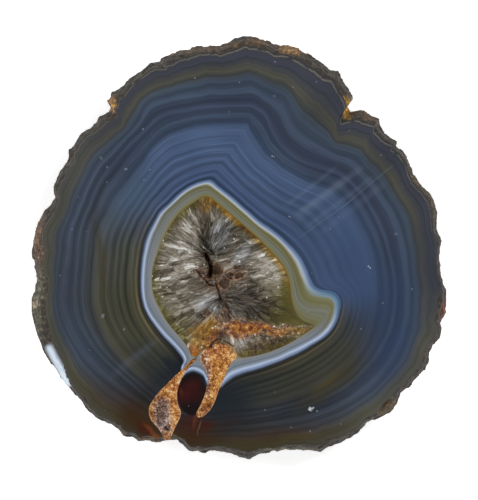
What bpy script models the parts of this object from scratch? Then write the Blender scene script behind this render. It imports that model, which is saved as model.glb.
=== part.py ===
"""Polished agate slice: a slab sawn from a nodule, with a quartz-lined hollow and two iron-stained channels.

The slab lies on its sawn back. +Z points out of the polished face, +Y up across that face, and the origin is
the middle of the back. Run it with: blender --background --python part.py
"""

import math

import bmesh
import bpy
from mathutils import Vector, noise

# Driving dimensions, in metres
SLAB_WIDTH = 0.1040
THICKNESS = 0.0120
MESH_GAP = 0.00035

# Outlines are points on a sheet laid over the polished face, x to the right and y downwards, ruled finely
# enough to set 416 steps across the slab's width.
SHEET_STEPS = 416

# Outer outline of the slab at its widest, anticlockwise from the top
OUTLINE = [
    (245, 35), (236, 38), (228, 42), (220, 45), (208, 45), (197, 46), (190, 48), (180, 50), (172, 53),
    (164, 57), (158, 61), (150, 62), (146, 66), (140, 71), (133, 77), (126, 81), (122, 86), (118, 90),
    (112, 92), (110, 97), (107, 101), (110, 107), (107, 113), (99, 116), (96, 122), (90, 128),
    (83, 132), (78, 138), (73, 146), (69, 150), (69, 158), (62, 168), (57, 177), (53, 188), (54, 197),
    (46, 209), (39, 220), (35, 229), (33, 241), (32, 253), (34, 265), (37, 273), (36, 283), (34, 292),
    (31, 299), (31, 312), (33, 322), (37, 335), (41, 346), (47, 358), (54, 367), (61, 380), (69, 388),
    (75, 395), (83, 403), (88, 411), (97, 419), (105, 422), (112, 426), (118, 430), (123, 436),
    (131, 437), (138, 442), (149, 441), (156, 443), (166, 441), (175, 440), (182, 444), (190, 452),
    (198, 451), (205, 453), (214, 450), (226, 453), (237, 456), (248, 460), (257, 456), (267, 453),
    (281, 451), (288, 450), (297, 451), (310, 451), (321, 453), (331, 446), (341, 443), (351, 437),
    (360, 431), (366, 424), (374, 420), (383, 417), (394, 410), (398, 401), (401, 394), (410, 386),
    (419, 376), (425, 370), (429, 361), (430, 352), (434, 344), (440, 337), (442, 329), (441, 323),
    (446, 313), (447, 296), (445, 286), (442, 275), (440, 258), (442, 241), (437, 229), (437, 213),
    (434, 199), (428, 190), (419, 182), (413, 173), (409, 160), (403, 151), (396, 146), (397, 141),
    (389, 137), (384, 131), (380, 126), (380, 119), (371, 115), (364, 110), (356, 111), (350, 112),
    (348, 106), (353, 99), (351, 91), (342, 79), (338, 71), (329, 68), (320, 60), (310, 55), (301, 49),
    (290, 45), (279, 45), (270, 41), (261, 38),
]

# Width of the rough rind that shows beyond the polished face: degrees round from +X, and millimetres
RIND_WIDTH = [
    (0, 0.7), (10, 0.7), (17, 1.1), (25, 0.6), (33, 0.9), (41, 1.4), (46, 2.2), (50, 3.1), (53, 2.4),
    (58, 1.9), (65, 2.2), (73, 2.3), (82, 2.0), (90, 2.4), (95, 1.7), (101, 1.5), (107, 1.8),
    (113, 1.7), (120, 1.1), (126, 1.3), (131, 2.3), (134, 2.2), (139, 1.2), (146, 0.8), (157, 1.0),
    (165, 0.7), (169, 2.0), (173, 1.6), (176, 1.2), (181, 2.6), (187, 1.3), (191, 3.2), (196, 3.4),
    (202, 3.1), (208, 3.0), (214, 2.0), (219, 0.6), (230, 0.7), (241, 1.0), (250, 1.1), (262, 0.7),
    (272, 1.5), (280, 0.7), (292, 1.7), (302, 0.7), (308, 0.8), (314, 2.0), (320, 0.9), (329, 1.1),
    (337, 0.5), (342, 1.9), (345, 2.0), (348, 0.6),
]

# The quartz hollow, clockwise from its upper point, and the spot where its quartz columns meet
HOLLOW = [
    (206, 197), (222, 208), (240, 223), (258, 239), (272, 254), (283, 267), (289, 281), (291, 297),
    (295, 311), (303, 321), (314, 326), (304, 334), (290, 343), (272, 351), (254, 356), (240, 357),
    (234, 349), (226, 344), (217, 342), (209, 346), (202, 351), (196, 357), (191, 354), (187, 346),
    (178, 335), (168, 323), (160, 309), (154, 295), (152, 281), (153, 268), (157, 255), (162, 242),
    (169, 228), (179, 214), (192, 204),
]
HEART = (212, 272)

# The two channels by which iron-stained matter reached the hollow. The left one breaks out through the rind.
LEFT_CHANNEL = [
    (198, 357), (193, 363), (188, 368), (183, 376), (179, 385), (177, 394), (178, 404), (181, 413),
    (178, 422), (174, 430), (170, 442), (165, 442), (160, 431), (155, 425), (150, 418), (149, 408),
    (153, 400), (160, 391), (168, 383), (177, 374), (185, 367), (191, 360),
]
RIGHT_CHANNEL = [
    (209, 345), (217, 341), (227, 344), (235, 350), (237, 357), (232, 362), (228, 369), (224, 379),
    (219, 390), (215, 401), (210, 410), (204, 416), (199, 418), (196, 414), (201, 404), (205, 394),
    (207, 384), (207, 375), (204, 367), (200, 360), (202, 352),
]
CHANNEL_DEPTH = 0.0016
CHANNEL_LUMP = 0.0005
CHANNEL_LUMPS_PER_METRE = 1400
CHANNEL_POINTS = 40

# Rings of the rind, top to bottom: height as a share of the thickness, share of the rind's width by which the
# ring stands inside the outline, further inset and deepest chip in metres. The fourth is the outline itself.
RIND_RINGS = [
    (1.00, 1.00, 0.0000, 0.00025), (0.94, 0.60, 0.0000, 0.00070), (0.81, 0.25, 0.0000, 0.00080),
    (0.64, 0.00, 0.0000, 0.00000), (0.46, 0.05, 0.0001, 0.00080), (0.30, 0.10, 0.0004, 0.00110),
    (0.14, 0.15, 0.0008, 0.00090), (0.00, 0.25, 0.0014, 0.00050),
]
RIND_POINTS = 288
CHIPS_ROUND = 14
CHIPS_UP = 6

# Rings of the hollow's bowl: share of the way out from the heart, and depth below the polished face
BOWL = [(1.00, 0.0022), (0.72, 0.0036), (0.38, 0.0050), (0.12, 0.0062)]
CUTTER_RISE = 0.0015

# The quartz crust's columns lie side by side and slope to the heart, and neighbours merge on the way in. Each
# step: share of the way out, depth below the polished face, height of the ridges, and points merged into one.
CRUST_POINTS = 112
COLUMN_STEPS = [
    (0.08, 0.0040, 0.0000, 8), (0.20, 0.0022, 0.0012, 4), (0.36, 0.0013, 0.0009, 2),
    (0.54, 0.0010, 0.0007, 2), (0.72, 0.0007, 0.0006, 2), (0.88, 0.0004, 0.0004, 1),
    (1.00, 0.0003, 0.0000, 1),
]
COLUMN_STAGGER = 0.08
POLISH_MARGIN = 0.0001


def clear_scene():
    for thing in list(bpy.data.objects):
        bpy.data.objects.remove(thing, do_unlink=True)


def plain_material(name, colour, roughness):
    material = bpy.data.materials.new(name)
    material.use_nodes = True
    shader = material.node_tree.nodes["Principled BSDF"]
    shader.inputs["Base Color"].default_value = (*colour, 1.0)
    shader.inputs["Roughness"].default_value = roughness
    shader.inputs["Metallic"].default_value = 0.0
    return material


def sheet_middle():
    """The sheet point over the origin: the middle of the outline's box."""
    across = [x for x, _ in OUTLINE]
    down = [y for _, y in OUTLINE]
    return (min(across) + max(across)) / 2, (min(down) + max(down)) / 2


def on_slab(point):
    """A sheet point as a place on the slab's back, in metres."""
    middle = sheet_middle()
    step = SLAB_WIDTH / SHEET_STEPS
    return Vector(((point[0] - middle[0]) * step, (middle[1] - point[1]) * step, 0.0))


def raised(places, height):
    return [place + Vector((0.0, 0.0, height)) for place in places]


def reader_round(turns):
    """A function that reads (angle, value) pairs in a loop, in straight steps."""
    turns = sorted(turns)
    last_angle, last_value = turns[-1]
    first_angle, first_value = turns[0]
    ring = [(last_angle - math.tau, last_value), *turns, (first_angle + math.tau, first_value)]

    def read(angle):
        for (low, before), (high, after) in zip(ring, ring[1:]):
            if low <= angle < high:
                return before + (after - before) * (angle - low) / (high - low)
        return last_value

    return read


def even_points(places, count):
    """Points set evenly along a closed outline."""
    ends = places[1:] + places[:1]
    spacing = sum((end - start).length for start, end in zip(places, ends)) / count
    found = []
    into_edge = 0.0
    for start, end in zip(places, ends):
        length = (end - start).length
        while into_edge < length and len(found) < count:
            found.append(start.lerp(end, into_edge / length))
            into_edge += spacing
        into_edge -= length
    return found


def drawn_in(outline, distance):
    """A clockwise closed outline set inwards by a distance."""
    drawn = []
    for before, place, after in zip(outline[-1:] + outline[:-1], outline, outline[1:] + outline[:1]):
        along = (after - before).normalized()
        drawn.append(place + Vector((along.y, -along.x, 0.0)) * distance)
    return drawn


def neighbours(vert):
    return [edge.other_vert(vert) for edge in vert.link_edges]


def loft(name, rings, material):
    """A closed solid skinned over rings of equal count, top ring first, with a face across each end."""
    mesh = bmesh.new()
    loop = [mesh.verts.new(place) for place in rings[0]]
    mesh.faces.new(loop)
    for ring in rings[1:]:
        edges = [mesh.edges.get(pair) for pair in zip(loop, loop[1:] + loop[:1])]
        grown = bmesh.ops.extrude_edge_only(mesh, edges=edges)["geom"]
        fresh = {item for item in grown if isinstance(item, bmesh.types.BMVert)}
        loop = [next(other for other in neighbours(vert) if other in fresh) for vert in loop]
        for vert, place in zip(loop, ring):
            vert.co = place
    mesh.faces.new(loop)
    bmesh.ops.remove_doubles(mesh, verts=mesh.verts, dist=1e-7)
    bmesh.ops.recalc_face_normals(mesh, faces=mesh.faces)
    data = bpy.data.meshes.new(name)
    mesh.to_mesh(data)
    mesh.free()
    data.materials.append(material)
    solid = bpy.data.objects.new(name, data)
    bpy.context.scene.collection.objects.link(solid)
    return solid


def chip(angle, height, ring):
    """A repeatable share from 0 to 1 for how deep the rind is chipped at this place."""
    spot = Vector((math.cos(angle) * CHIPS_ROUND, math.sin(angle) * CHIPS_ROUND, height * CHIPS_UP + ring))
    return 0.5 + 0.5 * (0.65 * noise.noise(spot) + 0.35 * noise.noise(spot * 3.1))


def rind_rings():
    outline = [on_slab(point) for point in OUTLINE]
    reach = reader_round([(math.atan2(place.y, place.x) % math.tau, place.length) for place in outline])
    width = reader_round([(math.radians(turn), millimetres / 1000) for turn, millimetres in RIND_WIDTH])
    angles = [math.tau * step / RIND_POINTS for step in range(RIND_POINTS)]
    rings = []
    for number, (height, share, inset, deepest) in enumerate(RIND_RINGS):
        ring = []
        for angle in angles:
            out = reach(angle) - share * width(angle) - inset - deepest * chip(angle, height, number)
            ring.append(Vector((out * math.cos(angle), out * math.sin(angle), height * THICKNESS)))
        rings.append(ring)
    return rings


def bowl_rings(outline, lift):
    """Rings of the hollow's bowl, each the outline drawn in towards the heart."""
    heart = on_slab(HEART)
    rings = []
    for share, depth in BOWL:
        ring = [heart.lerp(place, share) for place in outline]
        rings.append(raised(ring, THICKNESS - depth + lift))
    return rings


def hollow_cutter(material):
    outline = even_points([on_slab(point) for point in HOLLOW], CRUST_POINTS)
    brim = raised(outline, THICKNESS + CUTTER_RISE)
    return loft("hollow_cutter", [brim, *bowl_rings(outline, 0.0)], material)


def channel_cutter(name, points, material):
    outline = even_points([on_slab(point) for point in points], CHANNEL_POINTS)
    brim = raised(outline, THICKNESS + CUTTER_RISE)
    floor = raised(outline, THICKNESS - CHANNEL_DEPTH)
    cutter = loft(name, [brim, floor], material)
    roughen_floor(cutter.data)
    return cutter


def roughen_floor(data):
    """Lumps on the downward end of a cutter, whose outline stays in place."""
    mesh = bmesh.new()
    mesh.from_mesh(data)
    floor = [face for face in mesh.faces if face.normal.z < -0.99]
    pieces = set(bmesh.ops.triangulate(mesh, faces=floor)["faces"])
    inner = [edge for edge in mesh.edges if edge.link_faces and set(edge.link_faces) <= pieces]
    made = bmesh.ops.subdivide_edges(mesh, edges=inner, cuts=2, use_grid_fill=True)["geom_inner"]
    for item in made:
        if isinstance(item, bmesh.types.BMVert):
            item.co.z += CHANNEL_LUMP * noise.noise(item.co * CHANNEL_LUMPS_PER_METRE)
    bmesh.ops.triangulate(mesh, faces=mesh.faces)
    mesh.to_mesh(data)
    mesh.free()


def cut(target, cutter):
    cutter.hide_render = True
    cutter.display_type = "WIRE"
    modifier = target.modifiers.new(cutter.name, "BOOLEAN")
    modifier.operation = "DIFFERENCE"
    modifier.object = cutter


def unevenness(turn, ring):
    """A repeatable share from -1 to 1, so that no two columns are alike."""
    return noise.noise(Vector((turn * 1.7, ring * 2.3, 5.0)))


def column_ring(outline, number):
    """One step of the crust's columns, where points of a merged column share a place."""
    heart = on_slab(HEART)
    share, depth, ridge, merged = COLUMN_STEPS[number]
    outermost = number == len(COLUMN_STEPS) - 1
    ring = []
    for turn in range(len(outline)):
        column = turn // merged
        crest = ridge / 2 if column % 2 else -ridge / 2
        sag = depth - crest - 0.6 * ridge * unevenness(column, number)
        out = share if outermost else share * (1 + COLUMN_STAGGER * unevenness(column, number + 20))
        place = heart.lerp(outline[column * merged], out)
        ring.append(place + Vector((0.0, 0.0, THICKNESS - max(sag, POLISH_MARGIN))))
    return ring


def quartz_crust(material):
    outline = drawn_in(even_points([on_slab(point) for point in HOLLOW], CRUST_POINTS), MESH_GAP)
    top = [column_ring(outline, number) for number in range(len(COLUMN_STEPS))]
    return loft("quartz_crust", [*top, *bowl_rings(outline, MESH_GAP)], material)


def agate_slice(material):
    slab = loft("agate_slice", rind_rings(), material)
    cut(slab, hollow_cutter(material))
    cut(slab, channel_cutter("left_channel_cutter", LEFT_CHANNEL, material))
    cut(slab, channel_cutter("right_channel_cutter", RIGHT_CHANNEL, material))
    return slab


def main():
    clear_scene()
    agate_slice(plain_material("banded_chalcedony", (0.07, 0.09, 0.12), 0.12))
    quartz_crust(plain_material("drusy_quartz", (0.42, 0.38, 0.31), 0.30))


main()
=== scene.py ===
"""Looks of a polished agate slice: banded stone, a quartz-lined hollow and two iron-stained channels.

The slice lies on its sawn back, +Z out of the polished face. Outlines and growth lines are points on a sheet
laid over that face, x to the right and y downwards, ruled in 416 steps across the slab's width.
"""

import math

import bmesh
import bpy
from mathutils import Matrix, Vector, geometry, noise


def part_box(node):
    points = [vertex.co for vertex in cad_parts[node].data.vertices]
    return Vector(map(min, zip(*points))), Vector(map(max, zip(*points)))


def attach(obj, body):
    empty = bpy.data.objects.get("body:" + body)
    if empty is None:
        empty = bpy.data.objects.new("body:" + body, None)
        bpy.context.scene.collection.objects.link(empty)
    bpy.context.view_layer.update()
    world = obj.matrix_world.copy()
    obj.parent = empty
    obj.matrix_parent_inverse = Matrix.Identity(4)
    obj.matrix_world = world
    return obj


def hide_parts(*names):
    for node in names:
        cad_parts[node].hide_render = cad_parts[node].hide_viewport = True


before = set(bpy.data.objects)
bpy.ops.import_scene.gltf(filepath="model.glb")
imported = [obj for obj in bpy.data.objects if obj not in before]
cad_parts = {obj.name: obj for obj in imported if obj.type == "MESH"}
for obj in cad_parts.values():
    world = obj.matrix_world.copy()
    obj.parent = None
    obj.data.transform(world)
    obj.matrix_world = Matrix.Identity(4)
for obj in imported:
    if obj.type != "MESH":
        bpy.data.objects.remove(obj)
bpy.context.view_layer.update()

SLAB_WIDTH = 0.1040
SHEET_STEPS = 416
STEP = SLAB_WIDTH / SHEET_STEPS
SLAB_LOW, SLAB_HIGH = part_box("agate_slice")
THICKNESS = SLAB_HIGH.z
MM = 0.001

# Growth lines, each in five stretches that follow one another clockwise: upper corner of the hollow to its
# right bulge, on to the right channel, over to the left channel, up to the hollow's left side, and back to
# the top. COLUMNS has the columns of faces in each stretch.
COLUMNS = [260, 225, 75, 150, 250]

SLAB_OUTLINE = [
    [(245, 35), (261, 38), (270, 41), (279, 45), (290, 45), (301, 49), (310, 55), (320, 60), (329, 68),
     (338, 71), (342, 79), (351, 91), (353, 99), (348, 106), (350, 112), (356, 111), (364, 110), (371, 115),
     (380, 119), (380, 126), (384, 131), (389, 137), (397, 141), (396, 146), (403, 151), (409, 160),
     (413, 173), (419, 182), (428, 190), (434, 199), (437, 213), (437, 229), (442, 241), (440, 258),
     (442, 275), (445, 286)],
    [(447, 296), (446, 313), (441, 323), (442, 329), (440, 337), (434, 344), (430, 352), (429, 361),
     (425, 370), (419, 376), (410, 386), (401, 394), (398, 401), (394, 410), (383, 417), (374, 420),
     (366, 424), (360, 431), (351, 437), (341, 443), (331, 446), (321, 453), (310, 451), (297, 451),
     (288, 450), (281, 451), (267, 453), (257, 456), (248, 460), (237, 456)],
    [(226, 453), (214, 450), (205, 453), (198, 451), (190, 452), (182, 444), (175, 440), (166, 441)],
    [(156, 443), (149, 441), (138, 442), (131, 437), (123, 436), (118, 430), (112, 426), (105, 422),
     (97, 419), (88, 411), (83, 403), (75, 395), (69, 388), (61, 380), (54, 367), (47, 358), (41, 346),
     (37, 335), (33, 322), (31, 312)],
    [(31, 299), (34, 292), (36, 283), (37, 273), (34, 265), (32, 253), (33, 241), (35, 229), (39, 220),
     (46, 209), (54, 197), (53, 188), (57, 177), (62, 168), (69, 158), (69, 150), (73, 146), (78, 138),
     (83, 132), (90, 128), (96, 122), (99, 116), (107, 113), (110, 107), (107, 101), (110, 97), (112, 92),
     (118, 90), (122, 86), (126, 81), (133, 77), (140, 71), (146, 66), (150, 62), (158, 61), (164, 57),
     (172, 53), (180, 50), (190, 48), (197, 46), (208, 45), (220, 45), (228, 42), (236, 38)],
]
OUTER_DARK_LINE = [
    [(250, 84.5), (257, 87), (265, 92), (275, 96), (283, 100), (288, 107), (291, 116), (296, 125),
     (303, 132), (311, 138), (320, 143), (330, 149), (340, 154), (350, 157), (358, 162), (365, 171),
     (373, 179), (380, 189), (387, 199), (393, 208), (398, 218), (402, 229), (405, 240), (407, 250),
     (408.5, 262), (410, 278)],
    [(411, 295), (410.5, 312), (407.5, 330), (403, 346), (396.5, 360), (387, 373), (376, 385), (361, 396.5),
     (345, 406), (327, 414), (309, 420), (290, 424), (270, 427), (250, 429.5)],
    [(232, 430), (213, 431), (195, 431), (176, 428)],
    [(155, 417), (143, 407), (130, 399), (116, 389), (104, 379), (93, 369), (83, 358), (75, 346), (68, 334),
     (62, 321), (58.5, 309)],
    [(57.5, 295), (59, 280), (62, 262), (64, 250), (65, 240), (67, 231), (70, 222), (74, 213), (76, 206),
     (80, 198), (83, 190), (87, 182), (91, 174), (95, 167), (99, 161), (106, 155), (112, 149), (118, 143),
     (124, 137), (130, 131), (135, 125), (140, 118), (142, 113), (146, 106), (152, 101), (160, 98.5),
     (170, 96), (180, 93), (190, 91.5), (200, 90), (210, 87), (220, 87.5), (230, 87), (240, 86)],
]
PALE_LINE = [
    [(250, 104.7), (258, 108), (264, 112), (268, 118), (271, 126), (276, 136), (283, 146), (292, 154),
     (303, 160), (316, 164.6), (329.7, 169), (340, 173), (349.6, 180), (357, 187.6), (363, 193.7),
     (369.6, 204.4), (375.7, 215), (381.8, 227.5), (386.4, 239.7), (389.5, 252), (392.6, 264), (395, 278)],
    [(396, 295), (394, 313), (390, 330), (383, 344), (375.7, 356.6), (365, 369), (352.7, 381), (340, 390),
     (325, 398), (306.7, 405.6), (288, 410), (268, 415), (250, 418)],
    [(232, 420), (213, 422), (195, 421), (178, 417)],
    [(160, 407), (147, 397), (140, 391), (127, 380), (115, 369), (103, 358), (93.6, 347), (87.5, 338),
     (81, 327), (77, 317), (75, 307)],
    [(74.5, 292), (76, 270), (77.5, 255), (78.5, 240), (81, 227), (84.5, 217), (90.5, 204), (95, 191),
     (100, 181), (107, 171), (118, 158), (130, 143), (141, 133), (150, 124), (158, 117), (170, 112),
     (181, 110), (192, 108), (203, 106), (213, 105.5), (230, 105)],
]
BLUE_ZONE_EDGE = [
    [(247, 125), (250, 131), (257.6, 143), (265, 154), (274.5, 161.5), (283.7, 169), (296, 176),
     (306.7, 181.4), (319, 186), (329.7, 190), (337, 195), (345, 203), (352.7, 212), (360, 224.4),
     (366.5, 236.7), (371, 248), (374, 258), (376, 272), (377, 288)],
    [(376.5, 302), (375.7, 312), (372.6, 326), (368, 339.7), (360, 353.5), (349.6, 365.8), (337, 376.5),
     (322, 385.7), (306.7, 393), (291, 399.5), (276, 404), (260.7, 407), (245, 408.7)],
    [(230, 410), (213, 412), (195, 411), (178, 407)],
    [(164, 398), (150, 387), (142.7, 380), (133.5, 372), (124, 363), (113.5, 350.5), (106, 340),
     (101, 330.5), (96.7, 320), (93.6, 309)],
    [(92, 296), (93, 276), (95, 255), (96, 240), (98, 232), (101, 224), (106, 215), (110.5, 206),
     (115, 198), (124, 187.6), (133.5, 174), (143, 163), (150, 152), (161, 141), (170, 134.7), (181, 131),
     (201, 126.5), (220, 125), (235, 124.5)],
]
WHITE_BAND_OUTSIDE = [
    [(210, 181), (218, 187), (228, 195), (240, 205), (250, 214), (258, 221), (268, 228), (277, 235),
     (285, 242), (293, 250), (300, 259), (305, 268), (309, 278), (313, 286), (320, 290), (330, 291),
     (337, 295)],
    [(340, 302), (339, 312), (336, 322), (331, 331), (323, 339), (312, 346), (300, 353), (285, 360),
     (270, 366), (255, 371), (245, 374), (235, 378), (226, 384)],
    [(221, 389), (213, 391), (207, 386), (203, 377), (194, 372.5), (186, 375), (182, 378)],
    [(180, 369), (182, 363), (181, 359), (176, 353), (169, 345), (161, 336), (154, 326), (148, 316),
     (144, 306), (142, 295)],
    [(141, 280), (142, 265), (143.5, 252), (146, 240), (150, 230), (155, 221), (160, 213), (168, 206),
     (176, 198), (184, 191), (192, 186), (200, 182.5)],
]
WHITE_BAND_INSIDE = [
    [(210, 186), (214, 189), (222, 195), (240, 210), (258, 226), (272, 236), (282, 245), (290, 255),
     (296, 265), (301, 277), (306, 287), (312, 293), (322, 296), (331, 298)],
    [(335, 303), (334, 311), (331, 320), (326, 328), (317, 336), (305, 343), (290, 350), (275, 357),
     (255, 363), (240, 367), (230, 371)],
    [(222, 379), (214, 383), (207, 378), (203, 371), (194, 367), (187, 369), (184, 373)],
    [(183, 366), (186, 360), (183, 353), (175, 344), (165, 333), (156, 321), (149, 309), (146, 297)],
    [(145.5, 280), (147, 260), (150, 245), (154, 232), (163, 215), (176, 202), (188, 192), (198, 187),
     (206, 185)],
]
OLIVE_BAND_INSIDE = [
    [(209, 191.5), (216, 196), (228, 206), (240, 217), (258, 232), (272, 245), (281, 254), (288, 264),
     (292, 276), (294, 288), (297, 300), (303, 307), (312, 310), (322, 310)],
    [(328, 313), (323, 322), (316, 330), (306, 337), (291, 345), (274, 353), (256, 358), (242, 360.5)],
    [(230, 366), (220, 372), (210, 374), (205, 366), (194, 364), (190, 366)],
    [(188, 362), (188.5, 356), (184, 349), (176, 339), (167, 328), (159, 316), (152, 303), (149.5, 293)],
    [(149, 280), (150.5, 263), (154, 248), (158, 236), (166, 222), (178, 208), (190, 198), (200, 193)],
]
HOLLOW_EDGE = [
    [(206, 197), (222, 208), (240, 223), (258, 239), (272, 254), (283, 267), (289, 281), (291, 297),
     (295, 311), (303, 321)],
    [(314, 326), (304, 334), (290, 343), (272, 351), (254, 356)],
    [(240, 357), (234, 349), (226, 344), (217, 342), (209, 346), (202, 351), (196, 357)],
    [(191, 354), (187, 346), (178, 335), (168, 323), (160, 309), (154, 295)],
    [(152, 281), (153, 268), (157, 255), (162, 242), (169, 228), (179, 214), (192, 204)],
]
# The middle of the hollow
HEART = (212, 272)

# Growth from the polished face's rim, 0, to the hollow's edge, 1. Each line: its growth, its points, and the
# rows of faces between it and the line before.
GROWTH_LINES = [
    (0.25, OUTER_DARK_LINE, 6), (0.35, PALE_LINE, 2), (0.4333, BLUE_ZONE_EDGE, 2),
    (0.80, WHITE_BAND_OUTSIDE, 6), (0.85, WHITE_BAND_INSIDE, 1), (0.90, OLIVE_BAND_INSIDE, 1),
    (1.00, HOLLOW_EDGE, 2),
]
CURVE_CUTS = 8

# Width of the rough rind that shows beyond the polished face: degrees round from +X, and millimetres
RIND_WIDTH = [
    (0, 0.7), (10, 0.7), (17, 1.1), (25, 0.6), (33, 0.9), (41, 1.4), (46, 2.2), (50, 3.1), (53, 2.4),
    (58, 1.9), (65, 2.2), (73, 2.3), (82, 2.0), (90, 2.4), (95, 1.7), (101, 1.5), (107, 1.8), (113, 1.7),
    (120, 1.1), (126, 1.3), (131, 2.3), (134, 2.2), (139, 1.2), (146, 0.8), (157, 1.0), (165, 0.7),
    (169, 2.0), (173, 1.6), (176, 1.2), (181, 2.6), (187, 1.3), (191, 3.2), (196, 3.4), (202, 3.1),
    (208, 3.0), (214, 2.0), (219, 0.6), (230, 0.7), (241, 1.0), (250, 1.1), (262, 0.7), (272, 1.5),
    (280, 0.7), (292, 1.7), (302, 0.7), (308, 0.8), (314, 2.0), (320, 0.9), (329, 1.1), (337, 0.5),
    (342, 1.9), (345, 2.0), (348, 0.6),
]

# Rings of the rind, top to bottom: height as a share of the thickness, share of the rind's width by which the
# ring stands inside the outline, further inset and deepest chip in metres
RIND_RINGS = [
    (1.00, 1.00, 0.0000, 0.00025), (0.94, 0.60, 0.0000, 0.00070), (0.81, 0.25, 0.0000, 0.00080),
    (0.64, 0.00, 0.0000, 0.00000), (0.46, 0.05, 0.0001, 0.00080), (0.30, 0.10, 0.0004, 0.00110),
    (0.14, 0.15, 0.0008, 0.00090), (0.00, 0.25, 0.0014, 0.00050),
]
# Chips, flakes and grit of the rind, and the nicks of its rim
CHIPS_ROUND = 14
CHIPS_UP = 6
RIND_ROWS = 35
FLAKES_PER_METRE = 620
FLAKE_DEPTH = 0.00045
GRIT_PER_METRE = 2600
GRIT_DEPTH = 0.00012
RIM_NICK = 0.00035
# How far the rind stands out beyond its chips, and how steeply it turns rough away from its two rims
RIND_SWELL = 0.00042
ROUGH_RISE = 6

# The hollow's bowl: share of the way out from the heart, and depth below the polished face
BOWL = [(0.0, 0.0062), (0.12, 0.0062), (0.38, 0.0050), (0.72, 0.0036), (1.00, 0.0022)]
BACK_SHRINK = 0.985
# Growth past the hollow's edge: on the bowl's floor and how much less at its brim, and on the back half way
# to the heart and at it
BOWL_GROWTH = 1.3
BOWL_GROWTH_FALL = 0.2
BACK_GROWTH = 1.2
HEART_GROWTH = 1.4

# The channels' two banks, from the hollow outwards
LEFT_CHANNEL = (
    [(191, 360), (185, 367), (177, 374), (168, 383), (160, 391), (153, 400), (149, 408), (150, 418),
     (155, 425), (160, 431), (165, 440)],
    [(198, 357), (193, 363), (188, 368), (183, 376), (179, 385), (177, 394), (178, 404), (181, 413),
     (178, 422), (174, 430), (170, 440)],
)
RIGHT_CHANNEL = (
    [(209, 345), (202, 352), (200, 360), (204, 367), (207, 375), (207, 384), (205, 394), (201, 404),
     (196, 414), (199, 418)],
    [(217, 341), (227, 344), (235, 350), (237, 357), (232, 362), (228, 369), (224, 379), (219, 390),
     (215, 401), (210, 410), (204, 416)],
)
CHANNEL_DEPTH = 0.0016
CHANNEL_ROWS = 120
CHANNEL_ACROSS = 40
CUTTER_STRIDE = 3
CUTTER_RISE = 0.001
CHANNEL_SAG = 0.0004
CHANNEL_LIP = 0.0006
LUMP_HEIGHT = 0.0004
LUMPS_PER_METRE = 900
GRAIN_HEIGHT = 0.0003
GRAINS_PER_METRE = 2300
GRAIN_MARGIN = 0.00002
LIP_SMOOTHNESS = 0.7

# The quartz: its blades lie side by side and slope from the hollow's edge down to the heart. Each: share of
# the way out, depth below the polished face and height of the blades' relief, in millimetres.
QUARTZ_SLOPE = [
    (0.00, 3.2, 0.2), (0.05, 2.6, 0.4), (0.12, 1.7, 0.6), (0.20, 1.2, 0.6), (0.36, 0.8, 0.5),
    (0.54, 0.6, 0.42), (0.72, 0.4, 0.32), (0.88, 0.25, 0.2), (0.96, 0.1, 0.08), (1.00, 0.04, 0.0),
]
QUARTZ_COLUMNS = 720
QUARTZ_ROWS = 66
QUARTZ_OVERLAP = 0.00008
QUARTZ_MARGIN = 0.00003

# The blades spread from a line through the heart. They keep their width at the spread's reach.
SPREAD_LINE = ((209, 256), (221, 297))
SPREAD_REACH = 0.012
BLADES_PER_METRE = 650
BLADE_STRETCH = 0.3
BLADE_LEAN = 0.9

# Clefts between the quartz sheaves: half width in sheet steps, depth in millimetres, how dark their stain and
# painted shade go, and points
CLEFTS = [
    (2.6, 2.6, 1.0, [(205.5, 254), (208, 259), (210.5, 265), (210.5, 271), (209, 277)]),
    (1.2, 1.0, 0.9, [(196, 270), (201, 275), (206, 281), (209, 285), (214, 286)]),
    (1.0, 0.6, 0.75, [(216, 284), (218, 290), (219.5, 295), (221, 299)]),
    (0.8, 0.4, 0.45, [(221, 299), (226, 306), (229, 311), (232, 316)]),
    (0.6, 0.3, 0.5, [(236, 318), (245, 319), (253, 322), (261, 324)]),
    (0.5, 0.2, 0.35, [(269, 326.5), (281, 327.5), (295, 327), (305, 326)]),
    (1.6, 0.6, 0.7, [(210, 347), (214, 341), (219, 339)]),
    (1.2, 0.4, 0.5, [(224, 341), (233, 346)]),
]
# How the openings' edges are broken, and how dark the cells' stain and painted shade go
BREAKS_PER_METRE = 1500
BREAK_DEPTH = 0.55
CELL_STAIN_AND_SHADE = 0.7
# Small open cells about the heart: centre, half width, half height, turn, and depth in millimetres
CELLS = [
    ((216.5, 270), 5.0, 5.6, 0, 1.3), ((229.8, 275.5), 4.2, 4.0, 0, 1.0), ((239, 275.4), 5.2, 3.2, 0, 0.9),
    ((224.5, 283.5), 5.6, 6.0, 0, 1.1), ((202, 274.6), 6.2, 3.4, -42, 0.9), ((237, 268), 4.0, 2.0, 0, 0.7),
    ((226.5, 316), 4.6, 6.5, 10, 0.6), ((207, 313), 4.5, 2.6, 0, 0.5),
]


def box_middle(points):
    across = [x for x, _ in points]
    down = [y for _, y in points]
    return (min(across) + max(across)) / 2, (min(down) + max(down)) / 2


SHEET_MIDDLE = box_middle([point for stretch in SLAB_OUTLINE for point in stretch])


def on_slab(point, height=0.0):
    """A sheet point as a place in metres."""
    return Vector(((point[0] - SHEET_MIDDLE[0]) * STEP, (SHEET_MIDDLE[1] - point[1]) * STEP, height))


def bend(before, start, end, after):
    """Places on a smooth curve from start up to end, which is left out."""
    out = start + (end - before) / 6
    back = end - (after - start) / 6
    return geometry.interpolate_bezier(start, out, back, end, CURVE_CUTS + 1)[:-1]


def curved(places):
    """A closed smooth line through places, CURVE_CUTS points for each."""
    found = []
    for turn, start in enumerate(places):
        before = places[turn - 1]
        end = places[(turn + 1) % len(places)]
        after = places[(turn + 2) % len(places)]
        found.extend(bend(before, start, end, after))
    return found


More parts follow.
